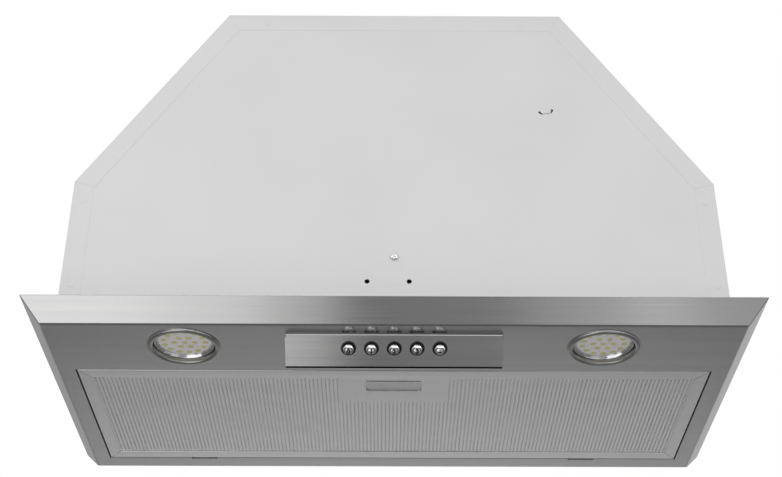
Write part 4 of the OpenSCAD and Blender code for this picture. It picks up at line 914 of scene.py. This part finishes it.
board_profile = [(0, -0.3), (WELL_R - 0.2, -0.3), (WELL_R - 0.05, -0.15), (WELL_R - 0.05, -0.02), (0, -0.02)]
light_profile = [(0, -1.0), (1.4, -0.97), (2.6, -0.84), (2.6, -0.6), (0, -0.6)]
for side, sign in LAMP_SIDES.items():
    node = "led_board_" + side
    board_place = Vector((sign * LAMP_X, LAMP_Y, LAMP_FACE_Z + WELL_DEPTH))
    settle(turned(node + "_plate", board_profile, board_place, UP, 72, 30), "led", node)
    chip_places = [board_place - UP * CHIP_DROP + Vector((math.cos(a), math.sin(a), 0)) * radius
                   for count, radius in CHIP_CIRCLES for a in (2 * math.pi * k / count for k in range(count))]
    stamp("chips_" + side, chip_body(), chip_places, "led", node)
    chip_light = turned("chip_light", light_profile, ORIGIN, UP, 16, 40)
    stamp("chip_lights_" + side, chip_light, chip_places, "phosphor", node)


# %% [markdown]
# ## Buttons
#
# A button is a chrome dome in a black sleeve. Its number is dark print on the dome. Text in Blender
# is flat, so each number becomes a mesh, gets extra points, and is then laid on the dome by moving
# every point to the sphere's height. The fifth button shows a small sun for the lamps.

# %% Button domes and sleeves
BUTTON_NAMES = ["button_0", "button_1", "button_2", "button_3", "button_lamp"]
BUTTON_PITCH, BUTTON_ROW = 18.6, 9.9
CAP_R, CAP_PROUD, DOME_H = 4.5, 5.4, 2.4
STEM_R, STEM_LEN, CAP_SKIRT = 2.5, 14.0, 1.5
SLEEVE_R, SLEEVE_NECK, SLEEVE_BORE, STRIP_T = 6.3, 5.4, 4.8, 0.8
DOME_R = (CAP_R ** 2 + DOME_H ** 2) / (2 * DOME_H)


def button_place(k):
    """Where button k's axis crosses the face of the strip."""
    return moved_out(cad_top + cad_down * BUTTON_ROW) + Vector(((k - 2) * BUTTON_PITCH, 0, 0))


def dome_height(r):
    """Height of the dome above the strip at a radius."""
    return CAP_PROUD - DOME_R + math.sqrt(DOME_R ** 2 - r * r)


dome = [(r, dome_height(r)) for r in (0, 0.6, 1.2, 1.8, 2.4, 3.0, 3.5, 3.9, 4.2)]
rim_top = dome[-1][1]
cap_profile = dome + [
    (4.36, rim_top - 0.22), (4.46, rim_top - 0.42), (CAP_R, rim_top - 0.65), (CAP_R, 1 - CAP_SKIRT),
    (CAP_R - 0.2, -CAP_SKIRT), (STEM_R, -CAP_SKIRT), (STEM_R, 0.3 - STEM_LEN),
    (STEM_R - 0.3, -STEM_LEN), (0, -STEM_LEN)]
sleeve_profile = [
    (SLEEVE_BORE, -STRIP_T), (SLEEVE_BORE, 0.35), (SLEEVE_BORE + 0.45, 0.85), (SLEEVE_BORE + 0.7, 1.0),
    (SLEEVE_R - 0.35, 1.0), (SLEEVE_R - 0.1, 0.88), (SLEEVE_R, 0.6), (SLEEVE_R, 0.02),
    (SLEEVE_NECK, 0.02), (SLEEVE_NECK, -STRIP_T), (SLEEVE_BORE, -STRIP_T)]
for k, name in enumerate(BUTTON_NAMES):
    settle(turned(name + "_cap", cap_profile, button_place(k), STRIP_OUT, 64, 30), "chrome", name)
stamp("button_sleeves", turned("sleeve", sleeve_profile, ORIGIN, STRIP_OUT, 64, 30),
      [button_place(k) for k in range(len(BUTTON_NAMES))], "black_gloss", "button_bezels")


# %% Numbers and the lamp sign
def flat_text(sign, size):
    """The flat mesh of a text, centred on the origin, in mm."""
    curve = bpy.data.curves.new("sign", "FONT")
    curve.body = sign
    curve.size = size
    curve.offset = 0.42
    curve.resolution_u = 6
    obj = bpy.data.objects.new("sign", curve)
    bpy.context.scene.collection.objects.link(obj)
    data = bpy.data.meshes.new_from_object(obj.evaluated_get(bpy.context.evaluated_depsgraph_get()))
    bpy.data.objects.remove(obj)
    mesh = bmesh.new()
    mesh.from_mesh(data)
    xs, ys = [v.co.x for v in mesh.verts], [v.co.y for v in mesh.verts]
    centre = Vector(((min(xs) + max(xs)) / 2, (min(ys) + max(ys)) / 2, 0))
    bmesh.ops.translate(mesh, vec=-centre, verts=mesh.verts)
    return mesh


def flat_sun():
    """A disc with eight short rays, as a sign for light, in mm."""
    mesh = bmesh.new()
    rim = [mesh.verts.new((1.0 * math.cos(a), 1.0 * math.sin(a), 0))
           for a in (2 * math.pi * k / 24 for k in range(24))]
    mesh.faces.new(rim)
    for k in range(8):
        a = 2 * math.pi * k / 8
        out, wide = Vector((math.cos(a), math.sin(a), 0)), Vector((-math.sin(a), math.cos(a), 0)) * 0.2
        mesh.faces.new([mesh.verts.new(p) for p in (
            out * 1.45 - wide, out * 2.4 - wide, out * 2.4 + wide, out * 1.45 + wide)])
    return mesh


SIGN_DROP, SIGN_NARROW = 0.8, 0.85


def print_on_dome(name, mesh, place):
    """Lays a flat sign on a button's dome as a thin closed layer of print."""
    bmesh.ops.remove_doubles(mesh, verts=mesh.verts, dist=1e-4)
    bmesh.ops.triangulate(mesh, faces=mesh.faces)
    for _ in range(3):
        long_edges = [edge for edge in mesh.edges if edge.calc_length() > 0.6]
        bmesh.ops.subdivide_edges(mesh, edges=long_edges, cuts=1)
        bmesh.ops.triangulate(mesh, faces=mesh.faces)
    up_faces = mesh.faces[:]
    raised = bmesh.ops.extrude_face_region(mesh, geom=up_faces, use_keep_orig=True)
    for vertex in (item for item in raised["geom"] if isinstance(item, bmesh.types.BMVert)):
        vertex.co.z = 1
    up = -STRIP_DOWN
    for vertex in mesh.verts:
        x, y, layer = vertex.co.x * SIGN_NARROW, vertex.co.y - SIGN_DROP, vertex.co.z
        height = dome_height(math.hypot(x, y)) + (0.035 if layer > 0.5 else -0.05)
        vertex.co = (place + Vector((1, 0, 0)) * x + up * y + STRIP_OUT * height) * MM
    return mesh_object(name, mesh, 20)


for k, name in enumerate(BUTTON_NAMES):
    sign = flat_sun() if name == "button_lamp" else flat_text(str(k), 7.2)
    printed = print_on_dome(name + "_sign", sign, button_place(k))
    settle(printed, "print", name, replaces=False)


# %% [markdown]
# ## Fasteners
#
# Screws, nuts and the rivet are small, but they show that the hood was put together. Each kind of
# screw and nut is modelled once and stamped by Geometry Nodes wherever the CAD has one. Their places
# are read from the loose parts of the CAD mesh, so nothing is measured twice. A single rivet is turned and
# set on the front panel.


# %% Where the CAD has its fasteners
def loose_boxes(node):
    """Lowest and highest corner of each loose part of a CAD mesh, in mm."""
    mesh = bmesh.new()
    mesh.from_mesh(frame["nodes"][node].data)
    bmesh.ops.remove_doubles(mesh, verts=mesh.verts, dist=3e-6)
    left, boxes = set(mesh.verts), []
    while left:
        waiting, found = [left.pop()], []
        while waiting:
            v = waiting.pop()
            found.append(v.co / MM)
            near = {edge.other_vert(v) for edge in v.link_edges} & left
            left -= near
            waiting.extend(near)
        boxes.append(tuple(Vector([pick(p[i] for p in found) for i in range(3)]) for pick in (min, max)))
    mesh.free()
    return sorted(boxes, key=lambda box: tuple(box[0]))


def middles(node, axis, seat):
    """The middle of each loose part, at a given level along one axis."""
    places = [(low + high) / 2 for low, high in loose_boxes(node)]
    for p in places:
        p[axis] = seat
    return places


# %% Nuts, screws and the rivet

def joined(name, objects):
    """One object from several; the others are removed."""
    mesh = bmesh.new()
    for obj in objects:
        mesh.from_mesh(obj.data)
        bpy.data.objects.remove(obj)
    return mesh_object(name, mesh, 30)


def thread(radius, low, high, pitch=0.8, depth=0.25):
    """Profile of a threaded shank as rings, from its lower end to its upper end."""
    crests = int((high - low) / pitch)
    turns = [(radius - (depth if k % 2 else 0), low + (k + 0.5) * (high - low) / (2 * crests))
             for k in range(2 * crests)]
    return [(0, low), (radius - depth - 0.2, low)] + turns + [(radius - depth - 0.2, high), (0, high)]
def screw(radius, head_r, head_h, length, axis):
    """A hex-head screw with a flange; its head's seat is at the origin and its shank points back."""
    head = [(0, 0.62), (head_r * 0.78, 0.62), (head_r * 0.78, head_h - 0.35), (head_r * 0.68, head_h),
            (head_r * 0.5, head_h - 0.3), (0, head_h - 0.3)]
    flange = [(0, 0), (head_r - 0.1, 0), (head_r, 0.1), (head_r - 0.1, 0.45), (0, 0.6)]
    return joined("screw", [
        turned("shank", thread(radius, -length, -0.02), ORIGIN, axis, 20, 20),
        turned("flange", flange, ORIGIN, axis, 32, 30),
        turned("head", head, ORIGIN, axis, 6, 20)])


NUT_Z = 1.0
stud_base, stud_top = (corner.z for corner in loose_boxes("stud_nuts")[0])
washer = [(2.2, NUT_Z), (3.4, NUT_Z), (3.5, NUT_Z + 0.1), (3.5, NUT_Z + 0.5), (2.2, NUT_Z + 0.5),
          (2.2, NUT_Z)]
nut = [(2.2, NUT_Z + 0.6), (3.2, NUT_Z + 0.6), (3.55, NUT_Z + 0.85), (3.55, NUT_Z + 3.1), (3.2, NUT_Z + 3.4),
       (2.2, NUT_Z + 3.4), (2.2, NUT_Z + 0.6)]
stud = joined("stud", [
    turned("shank", thread(2.0, 0, stud_top - stud_base), ORIGIN, UP, 20, 20),
    turned("washer", washer, ORIGIN, UP, 32, 30),
    turned("nut", nut, ORIGIN, UP, 6, 20)])
stamp("stud_nuts_threaded", stud, middles("stud_nuts", 2, stud_base), "zinc", "stud_nuts")

ALONG_X = Vector((1, 0, 0))
COLLAR_SEAT, SCROLL_HEAD = 316.2, 1.6
motor_seat, motor_end = box_mm("motor_bracket")[1].x, box_mm("motor_screws")[1].x
scroll_seat = box_mm("scroll_screws")[0].x + SCROLL_HEAD
for node, piece, axis, seat in (
        ("collar_screws", screw(1.8, 3.5, 3.0, 1.9, UP), 2, COLLAR_SEAT),
        ("motor_screws", screw(1.9, 2.9, motor_end - motor_seat, 7.5, ALONG_X), 0, motor_seat + 0.02),
        ("scroll_screws", screw(1.4, 2.4, SCROLL_HEAD, 3.6, -ALONG_X), 0, scroll_seat)):
    stamp(node + "_hex", piece, middles(node, axis, seat), "zinc", node)

rivet_low, rivet_high = box_mm("panel_rivets")
rivet_place = Vector((0, shell_low.y, (rivet_low.z + rivet_high.z) / 2))
rivet_profile = [
    (0, 0.35), (0.55, 0.35), (0.7, 0.62), (0.9, 1.0), (1.3, 1.28), (1.8, 1.36), (2.3, 1.2), (2.75, 0.8),
    (3.0, 0.4), (3.1, 0.05), (2.9, 0), (1.6, 0), (1.6, -2.2), (0, -2.2)]
settle(turned("panel_rivet_turned", rivet_profile, rivet_place, Vector((0, -1, 0)), 48, 40),
       "chrome", "panel_rivets")

# %% [markdown]
# ## Pieces inside and on top
#
# What sits inside is moulded plastic, cast zinc and plated sheet. Its CAD solids are true in shape,
# so they only get rounded edges: a wide one on mouldings and castings, a hair on cut sheet.

# %% Rounded mouldings and castings
MOULDINGS = {
    "outlet_collar": 0.5, "flap_front": 0.4, "flap_rear": 0.4, "scroll_left": 0.6, "scroll_right": 0.6,
    "terminal_box": 0.8, "terminal_box_lid": 0.8, "cord_gland": 0.35, "motor_housing": 0.6,
    "switch_block": 0.5, "lamp_socket_left": 0.4, "lamp_socket_right": 0.4, "capacitor": 0.5}
for moulding, radius in MOULDINGS.items():
    rounded_piece(moulding, radius, cut=1.0, segments=2)
for cut_sheet in ("motor_bracket", "socket_brackets", "switch_bracket", "capacitor_clip"):
    rounded_piece(cut_sheet, 0.2, cut=1.0, segments=2)

# %% [markdown]
# ## Latch springs
#
# The two coils shorten as the latch slides open. Here they are a copy of the CAD coils, joined into
# faces, with mesh data of their own.

# %% Coils of the latch
coils = mesh_object("latch_springs_live", joined_copy("latch_springs"), 60)
settle(coils, "zinc", "latch_springs")
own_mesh(coils)

# %% [markdown]
# ## Finish

# %% Finish
bpy.context.view_layer.update()
print("pieces", len(made_pieces))
